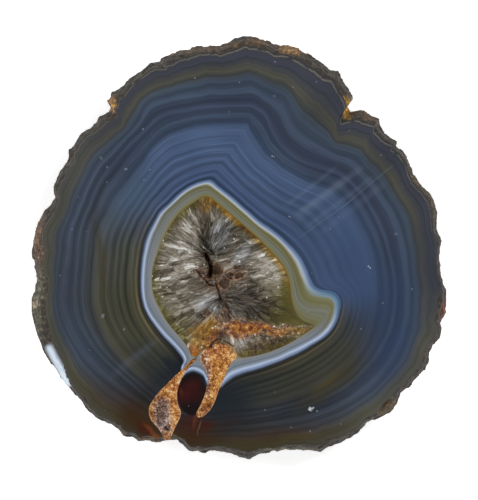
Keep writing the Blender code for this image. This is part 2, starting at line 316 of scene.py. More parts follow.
def even_run(places, count):
    """Points set evenly along an open line, count steps from its first place, its last place left out."""
    spacing = sum((end - start).length for start, end in zip(places, places[1:])) / count
    found = []
    into_edge = 0.0
    for start, end in zip(places, places[1:]):
        length = (end - start).length
        while into_edge < length and len(found) < count:
            found.append(start.lerp(end, into_edge / length))
            into_edge += spacing
        into_edge -= length
    while len(found) < count:
        found.append(places[-1])
    return found


def ring_of(stretches, bent=True):
    """A growth line as a ring of places, with COLUMNS of them to its stretches."""
    places = [on_slab(point) for stretch in stretches for point in stretch]
    cuts = CURVE_CUTS if bent else 1
    line = curved(places) if bent else places
    line.append(line[0])
    ring = []
    first = 0
    for stretch, count in zip(stretches, COLUMNS):
        last = first + len(stretch) * cuts
        ring.extend(even_run(line[first:last + 1], count))
        first = last
    return ring


def reader_round(turns):
    """A function that reads (angle, value) pairs in a loop, in straight steps."""
    turns = sorted(turns)
    last_angle, last_value = turns[-1]
    first_angle, first_value = turns[0]
    ring = [(last_angle - math.tau, last_value), *turns, (first_angle + math.tau, first_value)]

    def read(angle):
        for (low, before), (high, after) in zip(ring, ring[1:]):
            if low <= angle < high:
                return before + (after - before) * (angle - low) / (high - low)
        return last_value

    return read


def chip(angle, height, ring):
    """A repeatable share from 0 to 1 for how deep the rind is chipped at this place."""
    spot = Vector((math.cos(angle) * CHIPS_ROUND, math.sin(angle) * CHIPS_ROUND, height * CHIPS_UP + ring))
    return 0.5 + 0.5 * (0.65 * noise.noise(spot) + 0.35 * noise.noise(spot * 3.1))


# A grain's slant is three readings of the plain noise, each shifted, because Blender's own vector noise
# comes out different in each run
SLANT_SPREAD = 7.31
SLANT_SHIFTS = [(3.1, 5.7, 9.2), (12.4, 4.2, 1.3), (9.4, 5.9, 6.5)]


def broken(spot, lean):
    """Height of a broken surface, from about -1 to 1: each grain ends in its own slanting plane."""
    centre = noise.voronoi(spot)[1][0]
    slant = Vector([noise.noise(centre * SLANT_SPREAD + Vector(shift)) for shift in SLANT_SHIFTS])
    return noise.noise(centre * 3.17) + lean * slant.dot(spot - centre)


def between(rows, share):
    """Values read from rows of numbers, the share from 0 to 1 of the way down them."""
    spot = share * (len(rows) - 1)
    number = min(int(spot), len(rows) - 2)
    return [low + (high - low) * (spot - number) for low, high in zip(rows[number], rows[number + 1])], spot


rind_width = reader_round([(math.radians(turn), millimetres * MM) for turn, millimetres in RIND_WIDTH])


def rind_place(place, share):
    """A place on the rind below a place of the outline, share 0 at the polished rim and 1 at the back's."""
    (height, inside, inset, deepest), number = between(RIND_RINGS, share)
    angle = math.atan2(place.y, place.x) % math.tau
    out = place.length - inside * rind_width(angle) - inset - deepest * chip(angle, height, number)
    spot = Vector((place.x, place.y, height * THICKNESS))
    rough = min(1.0, ROUGH_RISE * share, ROUGH_RISE * (1 - share))
    flake = FLAKE_DEPTH * (0.6 + broken(spot * FLAKES_PER_METRE, 1.0))
    grit = GRIT_DEPTH * (1 + noise.noise(spot * GRIT_PER_METRE))
    nick = RIM_NICK * (0.3 + broken(spot * FLAKES_PER_METRE * 1.3, 0.9)) * (1 - rough)
    out += RIND_SWELL * rough - rough * max(0.0, flake) - grit - max(0.0, nick)
    found = place.xy * out / place.length
    across = min(max(found.x, SLAB_LOW.x), SLAB_HIGH.x)
    up = min(max(found.y, SLAB_LOW.y), SLAB_HIGH.y)
    return Vector((across, up, height * THICKNESS))


def lifted(ring, height):
    return [Vector((place.x, place.y, height)) for place in ring]


def blended(first, second, share):
    return [one.lerp(other, share) for one, other in zip(first, second)]


class Row:
    """One ring of places with its growth. Faces between it and the next row take the next row's finish."""

    def __init__(self, places, growth, finish):
        self.places = places
        self.growth = growth
        self.finish = finish


POLISHED, RIND, SAWN = 0, 1, 2


def face_rows(rim, lines, growth_start, height, finish):
    """Rows from the rim of a flat face in over the growth lines."""
    rows = []
    outer, outer_growth = rim, growth_start
    for growth, ring, count in lines:
        inner = lifted(ring, height)
        for step in range(1, count + 1):
            share = step / count
            places = blended(outer, inner, share)
            rows.append(Row(places, outer_growth + (growth - outer_growth) * share, finish))
        outer, outer_growth = inner, growth
    return rows


def stone_rows():
    """Rows of the stone: from the bowl's floor out over the polished face, down the rind and in again."""
    outline = ring_of(SLAB_OUTLINE, bent=False)
    lines = [(growth, ring_of(points), count) for growth, points, count in GROWTH_LINES]
    heart = on_slab(HEART)
    rim = [rind_place(place, 0.0) for place in outline]
    polished = [Row(rim, 0.0, POLISHED)] + face_rows(rim, lines, 0.0, THICKNESS, POLISHED)
    hollow = lines[-1][1]
    bowl = []
    for share, depth in BOWL:
        places = [heart.lerp(place, share) for place in hollow]
        growth = BOWL_GROWTH - BOWL_GROWTH_FALL * share
        bowl.append(Row(lifted(places, THICKNESS - depth), growth, POLISHED))
    rind = []
    for step in range(1, RIND_ROWS + 1):
        share = step / RIND_ROWS
        rind.append(Row([rind_place(place, share) for place in outline], -share, RIND))
    back_lines = [(growth, [place * BACK_SHRINK for place in ring], count) for growth, ring, count in lines]
    back = face_rows(rind[-1].places, back_lines, 0.0, 0.0, SAWN)
    end = heart * BACK_SHRINK
    last = back[-1].places
    back.append(Row([end.lerp(place, 0.5) for place in last], BACK_GROWTH, SAWN))
    back.append(Row([end] * len(last), HEART_GROWTH, SAWN))
    return bowl + polished[::-1] + rind + back


# The baked picture of the stone: the polished face fills most of it, the rind lies in strips at the right and
# the sawn back, squeezed, at the top. Each: left, bottom, width, height.
FACE_AREA = (0.005, 0.005, 0.695, 0.715)
BACK_AREA = (0.005, 0.73, 0.695, 0.265)
STRIP_AREA = (0.71, 0.005, 0.28, 0.99)
STRIPS = 4
STRIP_MARGIN = 0.006


def flat_spot(place, area):
    """Where a place of a flat face lies in its area of the baked picture."""
    left, bottom, width, height = area
    across = (place.x - SLAB_LOW.x) / (SLAB_HIGH.x - SLAB_LOW.x)
    up = (place.y - SLAB_LOW.y) / (SLAB_HIGH.y - SLAB_LOW.y)
    return left + width * min(max(across, 0.0), 1.0), bottom + height * min(max(up, 0.0), 1.0)


def strip_spot(turn, strip, down):
    """Where a place of the rind lies: its share of the way round, its strip and its share of the way down."""
    left, bottom, width, height = STRIP_AREA
    wide = width / STRIPS
    along = turn * STRIPS - strip
    across = left + wide * strip + STRIP_MARGIN + (wide - 2 * STRIP_MARGIN) * down
    return across, bottom + height * along


def woven(rows, bake):
    """A closed skin through rows of places, whose first and last rows may be single points.

    It has a map of growth, which is the share of the way round and the row's growth, and a map for baking
    that the function bake gives for a face's finish, column, strip and place.
    """
    columns = len(rows[0].places)
    mesh = bmesh.new()
    bmesh.ops.create_grid(mesh, x_segments=columns, y_segments=len(rows) - 1, size=1.0)
    growth_map = mesh.loops.layers.uv.new("growth")
    bake_map = mesh.loops.layers.uv.new("OFBake")
    seat = {}
    for vert in mesh.verts:
        column = round((vert.co.x + 1) / 2 * columns)
        number = round((vert.co.y + 1) / 2 * (len(rows) - 1))
        seat[vert] = (column, number)
    for face in mesh.faces:
        first = min(seat[loop.vert][0] for loop in face.loops)
        finish = rows[max(seat[loop.vert][1] for loop in face.loops)].finish
        face.material_index = finish
        for loop in face.loops:
            column, number = seat[loop.vert]
            row = rows[number]
            growth = row.growth
            if finish == SAWN and growth < 0:
                growth = 0.0
            loop[growth_map].uv = (column / columns, growth)
            place = row.places[column % columns]
            loop[bake_map].uv = bake(finish, column / columns, first / columns, place, row.growth)
    for vert, (column, number) in seat.items():
        vert.co = rows[number].places[column % columns]
    bmesh.ops.remove_doubles(mesh, verts=mesh.verts, dist=1e-7)
    bmesh.ops.recalc_face_normals(mesh, faces=mesh.faces)
    return mesh


def stone_bake(finish, turn, first, place, growth):
    if finish == RIND:
        return strip_spot(turn, int(first * STRIPS), min(1.0, max(0.0, -growth)))
    return flat_spot(place, FACE_AREA if finish == POLISHED else BACK_AREA)


def as_object(mesh, name, materials, sharp_angle):
    """A finished piece from a bmesh: smooth but for edges past the angle or between two finishes."""
    mesh.edges.index_update()
    borders = []
    for edge in mesh.edges:
        if len({face.material_index for face in edge.link_faces}) > 1:
            borders.append(edge.index)
    data = bpy.data.meshes.new(name)
    mesh.to_mesh(data)
    mesh.free()
    for material in materials:
        data.materials.append(material)
    data.shade_smooth()
    data.set_sharp_from_angle(angle=math.radians(sharp_angle))
    for number in borders:
        data.edges[number].use_edge_sharp = True
    piece = bpy.data.objects.new(name, data)
    bpy.context.scene.collection.objects.link(piece)
    return piece


def bank_run(bank):
    """Even places along a bank of a channel, bent smoothly through its points."""
    places = [on_slab(point) for point in bank]
    line = []
    for turn, (start, end) in enumerate(zip(places, places[1:])):
        before = places[max(turn - 1, 0)]
        after = places[min(turn + 2, len(places) - 1)]
        line.extend(bend(before, start, end, after))
    line.append(places[-1])
    return even_run(line, CHANNEL_ROWS) + [line[-1]]


def channel_cutter(name, banks):
    """A prism over a channel's outline, from above the polished face down to the channel's floor."""
    left, right = [bank_run(bank) for bank in banks]
    outline = lifted(left[::CUTTER_STRIDE] + right[::-CUTTER_STRIDE], THICKNESS + CUTTER_RISE)
    mesh = bmesh.new()
    face = mesh.faces.new([mesh.verts.new(place) for place in outline])
    grown = bmesh.ops.extrude_face_region(mesh, geom=[face])["geom"]
    fresh = [item for item in grown if isinstance(item, bmesh.types.BMVert)]
    bmesh.ops.translate(mesh, verts=fresh, vec=(0, 0, -CUTTER_RISE - CHANNEL_DEPTH))
    bmesh.ops.recalc_face_normals(mesh, faces=mesh.faces)
    data = bpy.data.meshes.new(name)
    mesh.to_mesh(data)
    mesh.free()
    cutter = bpy.data.objects.new(name, data)
    bpy.context.scene.collection.objects.link(cutter)
    return cutter


def carve(piece, cutters):
    """Cuts the cutters out of a piece for good and removes them."""
    for cutter in cutters:
        modifier = piece.modifiers.new(cutter.name, "BOOLEAN")
        modifier.operation = "DIFFERENCE"
        modifier.solver = "MANIFOLD"
        modifier.object = cutter
    graph = bpy.context.evaluated_depsgraph_get()
    carved = bpy.data.meshes.new_from_object(piece.evaluated_get(graph))
    piece.modifiers.clear()
    old = piece.data
    piece.data = carved
    bpy.data.meshes.remove(old)
    for cutter in cutters:
        bpy.data.objects.remove(cutter)


def iron_fill(name, banks, material):
    """The rough grains that fill a channel between its banks, a little below the polished face."""
    left, right = [bank_run(bank) for bank in banks]
    mesh = bmesh.new()
    bmesh.ops.create_grid(mesh, x_segments=CHANNEL_ROWS, y_segments=CHANNEL_ACROSS, size=1.0)
    lip_layer = mesh.verts.layers.float.new("lip")
    for vert in mesh.verts:
        number = round((vert.co.x + 1) / 2 * CHANNEL_ROWS)
        share = (vert.co.y + 1) / 2
        place = left[number].lerp(right[number], share)
        aside = min(share, 1 - share) * (right[number] - left[number]).length
        lip = max(0.0, 1 - aside / CHANNEL_LIP)
        lump = LUMP_HEIGHT * noise.noise(place * LUMPS_PER_METRE)
        grain = GRAIN_HEIGHT * broken(place * GRAINS_PER_METRE, 0.8)
        sag = CHANNEL_SAG * (1 - lip ** 2) + (lump + grain) * (1 - LIP_SMOOTHNESS * lip)
        vert[lip_layer] = lip
        vert.co = Vector((place.x, place.y, THICKNESS - max(sag, GRAIN_MARGIN)))
    brink = [edge for edge in mesh.edges if edge.is_boundary]
    grown = bmesh.ops.extrude_edge_only(mesh, edges=brink)["geom"]
    for item in grown:
        if isinstance(item, bmesh.types.BMVert):
            item.co.z = THICKNESS - CHANNEL_DEPTH
    bmesh.ops.holes_fill(mesh, edges=[edge for edge in mesh.edges if edge.is_boundary])
    bmesh.ops.recalc_face_normals(mesh, faces=mesh.faces)
    fill = as_object(mesh, name, [material], sharp_angle=30)
    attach(fill, "root")


def read_steps(steps, share):
    """The numbers of a list of steps at a share, in straight lines between the steps."""
    for low, high in zip(steps, steps[1:]):
        if share <= high[0]:
            part = (share - low[0]) / (high[0] - low[0])
            return [before + (after - before) * part for before, after in zip(low[1:], high[1:])]
    return list(steps[-1][1:])


def away_from_line(place, line):
    """How far a place is from a line through places."""
    nearest = None
    for start, end in zip(line, line[1:]):
        along = end - start
        share = min(1.0, max(0.0, (place - start).dot(along) / along.length_squared))
        away = (place - start - along * share).length
        nearest = away if nearest is None else min(nearest, away)
    return nearest


class Openings:
    """The clefts and cells of the quartz as places."""

    def __init__(self):
        self.clefts = [(half * STEP, deep * MM, dark, [on_slab(point) for point in line])
                       for half, deep, dark, line in CLEFTS]
        self.cells = [(on_slab(centre), wide * STEP, high * STEP, math.radians(turn), deep * MM)
                      for centre, wide, high, turn, deep in CELLS]

    def at(self, place):
        """How dark the openings' brown stain and painted shade are at a place, 0 to 1, and how deep."""
        openness, depth = 0.0, 0.0
        wobble = noise.noise(place * BREAKS_PER_METRE) * BREAK_DEPTH
        for half_width, deep, dark, line in self.clefts:
            share = 1.2 - away_from_line(place, line) / half_width + wobble
            share = min(1.0, max(0.0, share))
            openness = max(openness, dark * share)
            depth = max(depth, deep * share)
        for centre, half_width, half_height, turn, deep in self.cells:
            local = (place - centre).xy
            local.rotate(Matrix.Rotation(-turn, 2))
            share = 1.6 - Vector((local.x / half_width, local.y / half_height)).length * 1.2 + wobble
            share = min(1.0, max(0.0, share))
            openness = max(openness, CELL_STAIN_AND_SHADE * share)
            depth = max(depth, deep * share)
        return openness, depth


def blade_spot(place):
    """A place of the quartz laid out along its blades: round the spread, then outwards."""
    start, end = [on_slab(point) for point in SPREAD_LINE]
    along = end - start
    share = min(1.0, max(0.0, (place - start).dot(along) / along.length_squared))
    nearest = start + along * share
    away = place - nearest
    ring = nearest + away.normalized() * SPREAD_REACH
    return Vector((ring.x, ring.y, away.length * BLADE_STRETCH)) * BLADES_PER_METRE


def quartz_edge():
    points = [on_slab(point) for stretch in HOLLOW_EDGE for point in stretch]
    edge = curved(points)
    return even_run(edge + [edge[0]], QUARTZ_COLUMNS)


def quartz_rows(openings):
    heart = on_slab(HEART)
    edge = quartz_edge()
    rows = []
    for number in range(QUARTZ_ROWS + 1):
        share = number / QUARTZ_ROWS
        depth, relief = read_steps(QUARTZ_SLOPE, share)
        places = []
        for brink in edge:
            away = brink - heart
            place = heart + away * share
            sag = depth * MM + relief * MM * broken(blade_spot(place), BLADE_LEAN)
            sag = max(sag, QUARTZ_MARGIN) + openings.at(place)[1]
            place += away.normalized() * (QUARTZ_OVERLAP * share)
            places.append(Vector((place.x, place.y, THICKNESS - sag)))
        if number == 0:
            places = [places[0]] * len(places)
        rows.append(Row(places, share, POLISHED))
    for share, depth in BOWL[::-1]:
        floor = [heart.lerp(brink, share) for brink in edge]
        rows.append(Row(lifted(floor, THICKNESS - depth), 1.0 + (1 - share), RIND))
    return rows


QUARTZ_LOW, QUARTZ_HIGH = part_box("quartz_crust")
QUARTZ_FACE_AREA = (0.005, 0.005, 0.88, 0.99)
QUARTZ_BACK_AREA = (0.90, 0.005, 0.095, 0.11)


def quartz_bake(finish, turn, first, place, growth):
    left, bottom, width, height = QUARTZ_FACE_AREA if finish == POLISHED else QUARTZ_BACK_AREA
    across = (place.x - QUARTZ_LOW.x) / (QUARTZ_HIGH.x - QUARTZ_LOW.x)
    up = (place.y - QUARTZ_LOW.y) / (QUARTZ_HIGH.y - QUARTZ_LOW.y)
    return left + width * min(max(across, 0.0), 1.0), bottom + height * min(max(up, 0.0), 1.0)


def make_quartz(material):
    openings = Openings()
    mesh = woven(quartz_rows(openings), quartz_bake)
    for face in mesh.faces:
        face.material_index = 0
    open_layer = mesh.verts.layers.float.new("openness")
    for vert in mesh.verts:
        vert[open_layer] = openings.at(Vector((vert.co.x, vert.co.y, 0.0)))[0]
    quartz = as_object(mesh, "quartz_crystals", [material], sharp_angle=12)
    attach(quartz, "root")
    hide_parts("quartz_crust")


# Colours


def paint(code):
    """A colour from its usual six-digit code."""
    parts = [int(code[start:start + 2], 16) / 255 for start in (1, 3, 5)]
    return (*[part / 12.92 if part <= 0.04045 else ((part + 0.055) / 1.055) ** 2.4 for part in parts], 1.0)


class Reading:
    """A socket whose value varies over a surface. Sums written on it add Math nodes."""

    def __init__(self, finish, socket):
        self.finish = finish
        self.socket = socket

    def sum(self, operation, first, second):
        return self.finish.node("ShaderNodeMath", {"operation": operation}, {0: first, 1: second})

    def __add__(self, other):
        return self.sum("ADD", self, other)

    __radd__ = __add__

    def __sub__(self, other):
        return self.sum("SUBTRACT", self, other)

    def __rsub__(self, other):
        return self.sum("SUBTRACT", other, self)

    def __mul__(self, other):
        return self.sum("MULTIPLY", self, other)

    __rmul__ = __mul__

    def __truediv__(self, other):
        return self.sum("DIVIDE", self, other)


MIX_FACTOR, MIX_FIRST, MIX_SECOND, MIX_RESULT = 0, 6, 7, 2
RAMP_LIMIT = 30


class Finish:
    """A material under construction around one Principled shader."""

    def __init__(self, name, constants):
        self.material = bpy.data.materials.new(name)
        self.material.use_nodes = True
        self.tree = self.material.node_tree
        self.shader = self.tree.nodes["Principled BSDF"]
        for socket, value in constants.items():
            self.shader.inputs[socket].default_value = value

    def node(self, kind, settings, values, output=0):
        """Adds a node, sets it, then fills its sockets with values or readings."""
        made = self.tree.nodes.new(kind)
        for setting, value in settings.items():
            if setting == "stops":
                self.set_stops(made.color_ramp, value)
            else:
                setattr(made, setting, value)
        for socket, value in values.items():
            if isinstance(value, Reading):
                self.tree.links.new(value.socket, made.inputs[socket])
            else:
                made.inputs[socket].default_value = value
        return Reading(self, made.outputs[output])

    @staticmethod
    def set_stops(ramp, stops):
        ramp.elements.remove(ramp.elements[-1])
        ramp.elements[0].position, ramp.elements[0].color = stops[0]
        for position, colour in stops[1:]:
            ramp.elements.new(position).color = colour

    def feed(self, socket, reading):
        self.tree.links.new(reading.socket, self.shader.inputs[socket])

    def place(self):
        return self.node("ShaderNodeTexCoord", {}, {}, "Object")

    def growth(self):
        """The share of the way round, and the growth."""
        spot = self.node("ShaderNodeUVMap", {"uv_map": "growth"}, {})
        return tuple(self.node("ShaderNodeSeparateXYZ", {}, {0: spot}, axis) for axis in ("X", "Y"))

    def attribute(self, name):
        return self.node("ShaderNodeAttribute", {"attribute_name": name}, {}, "Fac")

    def vector(self, operation, first, second=None, output=0):
        values = {0: first} if second is None else {0: first, 1: second}
        return self.node("ShaderNodeVectorMath", {"operation": operation}, values, output)

    def scaled(self, vector, amount):
        return self.node("ShaderNodeVectorMath", {"operation": "SCALE"}, {0: vector, "Scale": amount})

    def combined(self, x, y, z):
        return self.node("ShaderNodeCombineXYZ", {}, {"X": x, "Y": y, "Z": z})

    def noise(self, place, scale, detail=2.0, roughness=0.5, output=0):
        values = {"Vector": place, "Scale": scale, "Detail": detail, "Roughness": roughness}
        return self.node("ShaderNodeTexNoise", {}, values, output)

    def cells(self, place, scale, feature="F1", output="Distance"):
        values = {"Vector": place, "Scale": scale}
        return self.node("ShaderNodeTexVoronoi", {"feature": feature}, values, output)

    def cell_number(self, place, scale):
        """A number from 0 to 1 for each cell."""
        return self.node("ShaderNodeSeparateColor", {}, {0: self.cells(place, scale, output="Color")})

    def step(self, reading, low, high, start=0.0, end=1.0):
        """A smooth step from start at low to end at high."""
        values = {"Value": reading, "From Min": low, "From Max": high, "To Min": start, "To Max": end}
        return self.node("ShaderNodeMapRange", {"interpolation_type": "SMOOTHSTEP"}, values)

    def ramp(self, reading, stops):
        """A ramp of colours over any range of readings, in several nodes where it has many stops."""
        result = None
        for first in range(0, len(stops) - 1, RAMP_LIMIT - 1):
            part = stops[first:first + RAMP_LIMIT]
            low, high = part[0][0], part[-1][0]
            points = [((position - low) / (high - low), colour) for position, colour in part]
            share = (reading - low) / (high - low)
            made = self.node("ShaderNodeValToRGB", {"stops": points}, {"Fac": share})
            if result is None:
                result = made
            else:
                result = self.mix(reading.sum("GREATER_THAN", reading, low), result, made)
        return result

    def curve(self, reading, stops):
        """A number read over any range of readings, in straight steps."""
        return self.ramp(reading, [(position, (value, value, value, 1.0)) for position, value in stops])

    def mix(self, factor, first, second, blend="MIX"):
        settings = {"data_type": "RGBA", "blend_type": blend, "clamp_factor": True}
        values = {MIX_FACTOR: factor, MIX_FIRST: first, MIX_SECOND: second}
        return self.node("ShaderNodeMix", settings, values, MIX_RESULT)

    def oval(self, axes, centre, half_width, half_height, turn, edge, amount):
        """A mask of a soft-edged oval about a sheet point. Its turn is anticlockwise, in degrees."""
        wide = half_width * STEP
        high = half_height * STEP
        cosine = math.cos(math.radians(turn))
        sine = math.sin(math.radians(turn))
        by_x = Vector((cosine / wide, -sine / high, 0.0))
        by_y = Vector((sine / wide, cosine / high, 0.0))
        middle = on_slab(centre)
        inside = -by_x * middle.x - by_y * middle.y
        for axis, share in zip(axes, (by_x, by_y)):
            values = {0: axis, 1: share, 2: inside}
            inside = self.node("ShaderNodeVectorMath", {"operation": "MULTIPLY_ADD"}, values)
        away = self.vector("LENGTH", inside, output="Value")
        return self.step(away, 1.0 + edge, 1.0 - edge, 0.0, amount)

    def streak(self, place, start, end, half_width, fade=8.0):
        """A mask of a thin straight streak between two sheet points, faint at its ends."""
        first, last = on_slab(start), on_slab(end)
        along = (last - first).normalized()
        across = Vector((-along.y, along.x, 0.0))
        run = self.vector("DOT_PRODUCT", place, along, "Value") - first.dot(along)
        aside = self.vector("DOT_PRODUCT", place, across, "Value") - first.dot(across)
        width = half_width * STEP
        band = self.step(aside.sum("ABSOLUTE", aside, 0.0), width * 1.6, width * 0.2)
        length = (last - first).length
        reach = fade * STEP
        return band * self.step(run, -reach, reach) * self.step(run, length + reach, length - reach)

    def masked(self, place, ovals):
        """The sum of soft-edged ovals: centre, half width, half height, turn, edge and amount."""
        axes = []
        for axis in ("X", "Y"):
            reading = self.node("ShaderNodeSeparateXYZ", {}, {0: place}, axis)
            axes.append(self.combined(reading, reading, reading))
        total = None
        for oval in ovals:
            mask = self.oval(axes, *oval)
            total = mask if total is None else total + mask
        return total

    def tinted(self, place, colour, groups, within=None):
        """A colour with soft-edged ovals of other colours laid over it, group by group."""
        for code, ovals in groups:
            mask = self.masked(place, ovals)
            colour = self.mix(mask if within is None else mask * within, colour, paint(code))
        return colour

    def ragged(self, place, per_metre, amount):
        """The place pushed about by noise, to give soft shapes uneven edges."""
        push = self.vector("SUBTRACT", self.noise(place, per_metre, 3.0, output="Color"), (0.5, 0.5, 0.5))
        return self.vector("ADD", place, self.scaled(push, amount))

    def bump(self, height, strength, distance):
        values = {"Strength": strength, "Distance": distance, "Height": height}
        self.feed("Normal", self.node("ShaderNodeBump", {}, values))


# Broad colours of the stone over its growth: on its blue upper right, on its olive sides, near the channels
BLUE_SIDE = [
    (0.00, "#444448"), (0.05, "#424552"), (0.09, "#46494e"), (0.13, "#504f46"), (0.16, "#4a4c48"),
    (0.20, "#445060"), (0.27, "#465468"), (0.33, "#424c62"), (0.40, "#435168"), (0.44, "#485a78"),
    (0.50, "#4b5f80"), (0.60, "#485c7c"), (0.70, "#48597a"), (0.76, "#45577a"), (0.80, "#38485f"),
]
OLIVE_SIDE = [
    (0.00, "#5a5850"), (0.05, "#565648"), (0.10, "#56564a"), (0.15, "#4e545a"), (0.20, "#48525f"),
    (0.27, "#485262"), (0.33, "#434c5a"), (0.40, "#444a50"), (0.45, "#4a4a42"), (0.50, "#49483a"),
    (0.56, "#47473c"), (0.62, "#474838"), (0.70, "#454638"), (0.76, "#5a5540"), (0.80, "#3c3a30"),
]
BROWN_SIDE = [
    (0.00, "#3c3626"), (0.08, "#403220"), (0.13, "#3e2d1c"), (0.20, "#3a3028"), (0.30, "#2f2e2c"),
    (0.40, "#303238"), (0.50, "#2f3234"), (0.60, "#282c32"), (0.70, "#222832"), (0.80, "#1c1f28"),
]

# How light each growth line is against the broad colour
LINES = [
    (0.000, 0.75), (0.010, 0.90), (0.035, 1.00), (0.058, 1.00), (0.070, 0.76), (0.080, 0.96), (0.110, 1.05),
    (0.150, 1.05), (0.164, 0.76), (0.174, 0.80), (0.185, 1.00), (0.215, 1.00), (0.232, 0.65), (0.250, 0.68),
    (0.262, 1.00), (0.285, 1.10), (0.300, 0.72), (0.330, 0.62), (0.342, 0.80), (0.350, 1.12), (0.358, 1.00),
    (0.366, 0.60), (0.376, 0.62), (0.388, 0.98), (0.398, 1.00), (0.410, 0.62), (0.424, 0.60), (0.436, 0.95),
    (0.450, 1.05), (0.475, 1.08), (0.490, 1.06), (0.508, 0.82), (0.524, 0.84), (0.538, 1.06), (0.553, 1.04),
    (0.568, 0.72), (0.580, 0.74), (0.594, 1.06), (0.610, 1.04), (0.622, 0.66), (0.634, 0.70), (0.645, 1.06),
    (0.662, 1.02), (0.674, 0.56), (0.686, 0.54), (0.699, 0.98), (0.724, 1.04), (0.738, 0.66), (0.748, 0.76),
    (0.758, 1.30), (0.766, 1.20), (0.774, 0.50), (0.784, 0.42), (0.790, 0.80), (0.795, 0.50),
]

# The white band and what lies inside it, on the upper right and elsewhere
WARM_CORE = [
    (0.782, "#2c3a54"), (0.792, "#50648c"), (0.804, "#6c80a4"), (0.816, "#8a9cb8"), (0.828, "#aab6c0"),
    (0.838, "#b4b8b4"), (0.846, "#98988a"), (0.854, "#706c46"), (0.872, "#6c6844"), (0.884, "#747460"),
    (0.890, "#60624c"), (0.898, "#7c7e6e"), (0.920, "#70746a"), (0.950, "#7a7a5e"), (0.975, "#7c7040"),
    (1.000, "#6c5626"),
]
COOL_CORE = [
    (0.790, "#20262c"), (0.800, "#2e363e"), (0.806, "#5c6880"), (0.812, "#7c8aa8"), (0.820, "#8e9ebe"),
    (0.828, "#aebedc"), (0.835, "#b4c4dc"), (0.842, "#98a4b6"), (0.850, "#7c8894"), (0.860, "#747c86"),
    (0.872, "#6c7884"), (0.880, "#7c8490"), (0.892, "#7e868e"), (0.915, "#80848e"), (0.945, "#88898c"),
    (0.975, "#8a8a80"), (1.000, "#7c7866"),
]
BLUE_CORE = [
    (0.780, "#3e5880"), (0.800, "#446488"), (0.820, "#50748f"), (0.840, "#6a8aa4"), (0.850, "#7c94a0"),
    (0.858, "#808060"), (0.875, "#70704c"), (0.900, "#7a7c70"), (0.950, "#747660"), (1.000, "#6e6a44"),
]

# Where round the stone each of these rules, by the share of the way round
OLIVE_ROUND = [
    (0.00, 0.0), (0.27, 0.0), (0.31, 0.85), (0.40, 1.0), (0.62, 1.0), (0.72, 1.0), (0.79, 0.9), (0.88, 0.1),
    (0.95, 0.0),
]
BROWN_ROUND = [(0.38, 0.0), (0.47, 0.75), (0.52, 1.0), (0.60, 1.0), (0.64, 0.45), (0.68, 0.0)]
COOL_ROUND = [(0.0, 0.0), (0.27, 0.0), (0.34, 1.0), (0.78, 1.0), (0.86, 0.45), (0.97, 0.1), (1.0, 0.0)]
BLUE_CORE_ROUND = [(0.20, 0.0), (0.245, 0.9), (0.275, 0.9), (0.31, 0.0)]
# How far the white band lies from its line, and how light the stone outside it is
CORE_SHIFT = [
    (0.00, 0.0), (0.30, 0.0), (0.36, -0.002), (0.49, -0.004), (0.58, -0.010), (0.62, -0.020),
    (0.66, -0.008), (0.71, 0.008), (0.78, 0.008), (0.85, -0.002), (0.90, 0.006), (1.00, 0.0),
]
SHADE_ROUND = [
    (0.00, 0.95), (0.22, 0.90), (0.29, 0.90), (0.33, 0.74), (0.42, 0.78), (0.50, 0.85), (0.60, 0.85),
    (0.66, 0.95), (0.72, 0.97), (0.80, 1.02), (0.86, 1.02), (0.94, 1.0), (1.00, 0.95),
]
LINES_ROUND = [
    (0.00, 0.75), (0.12, 0.75), (0.17, 0.35), (0.27, 0.25), (0.31, 0.9), (0.45, 0.9), (0.50, 0.45),
    (0.62, 0.6), (0.70, 1.0), (0.85, 1.0), (0.93, 0.85), (1.0, 0.75),
]


def painted(stops):
    return [(position, paint(code)) for position, code in stops]


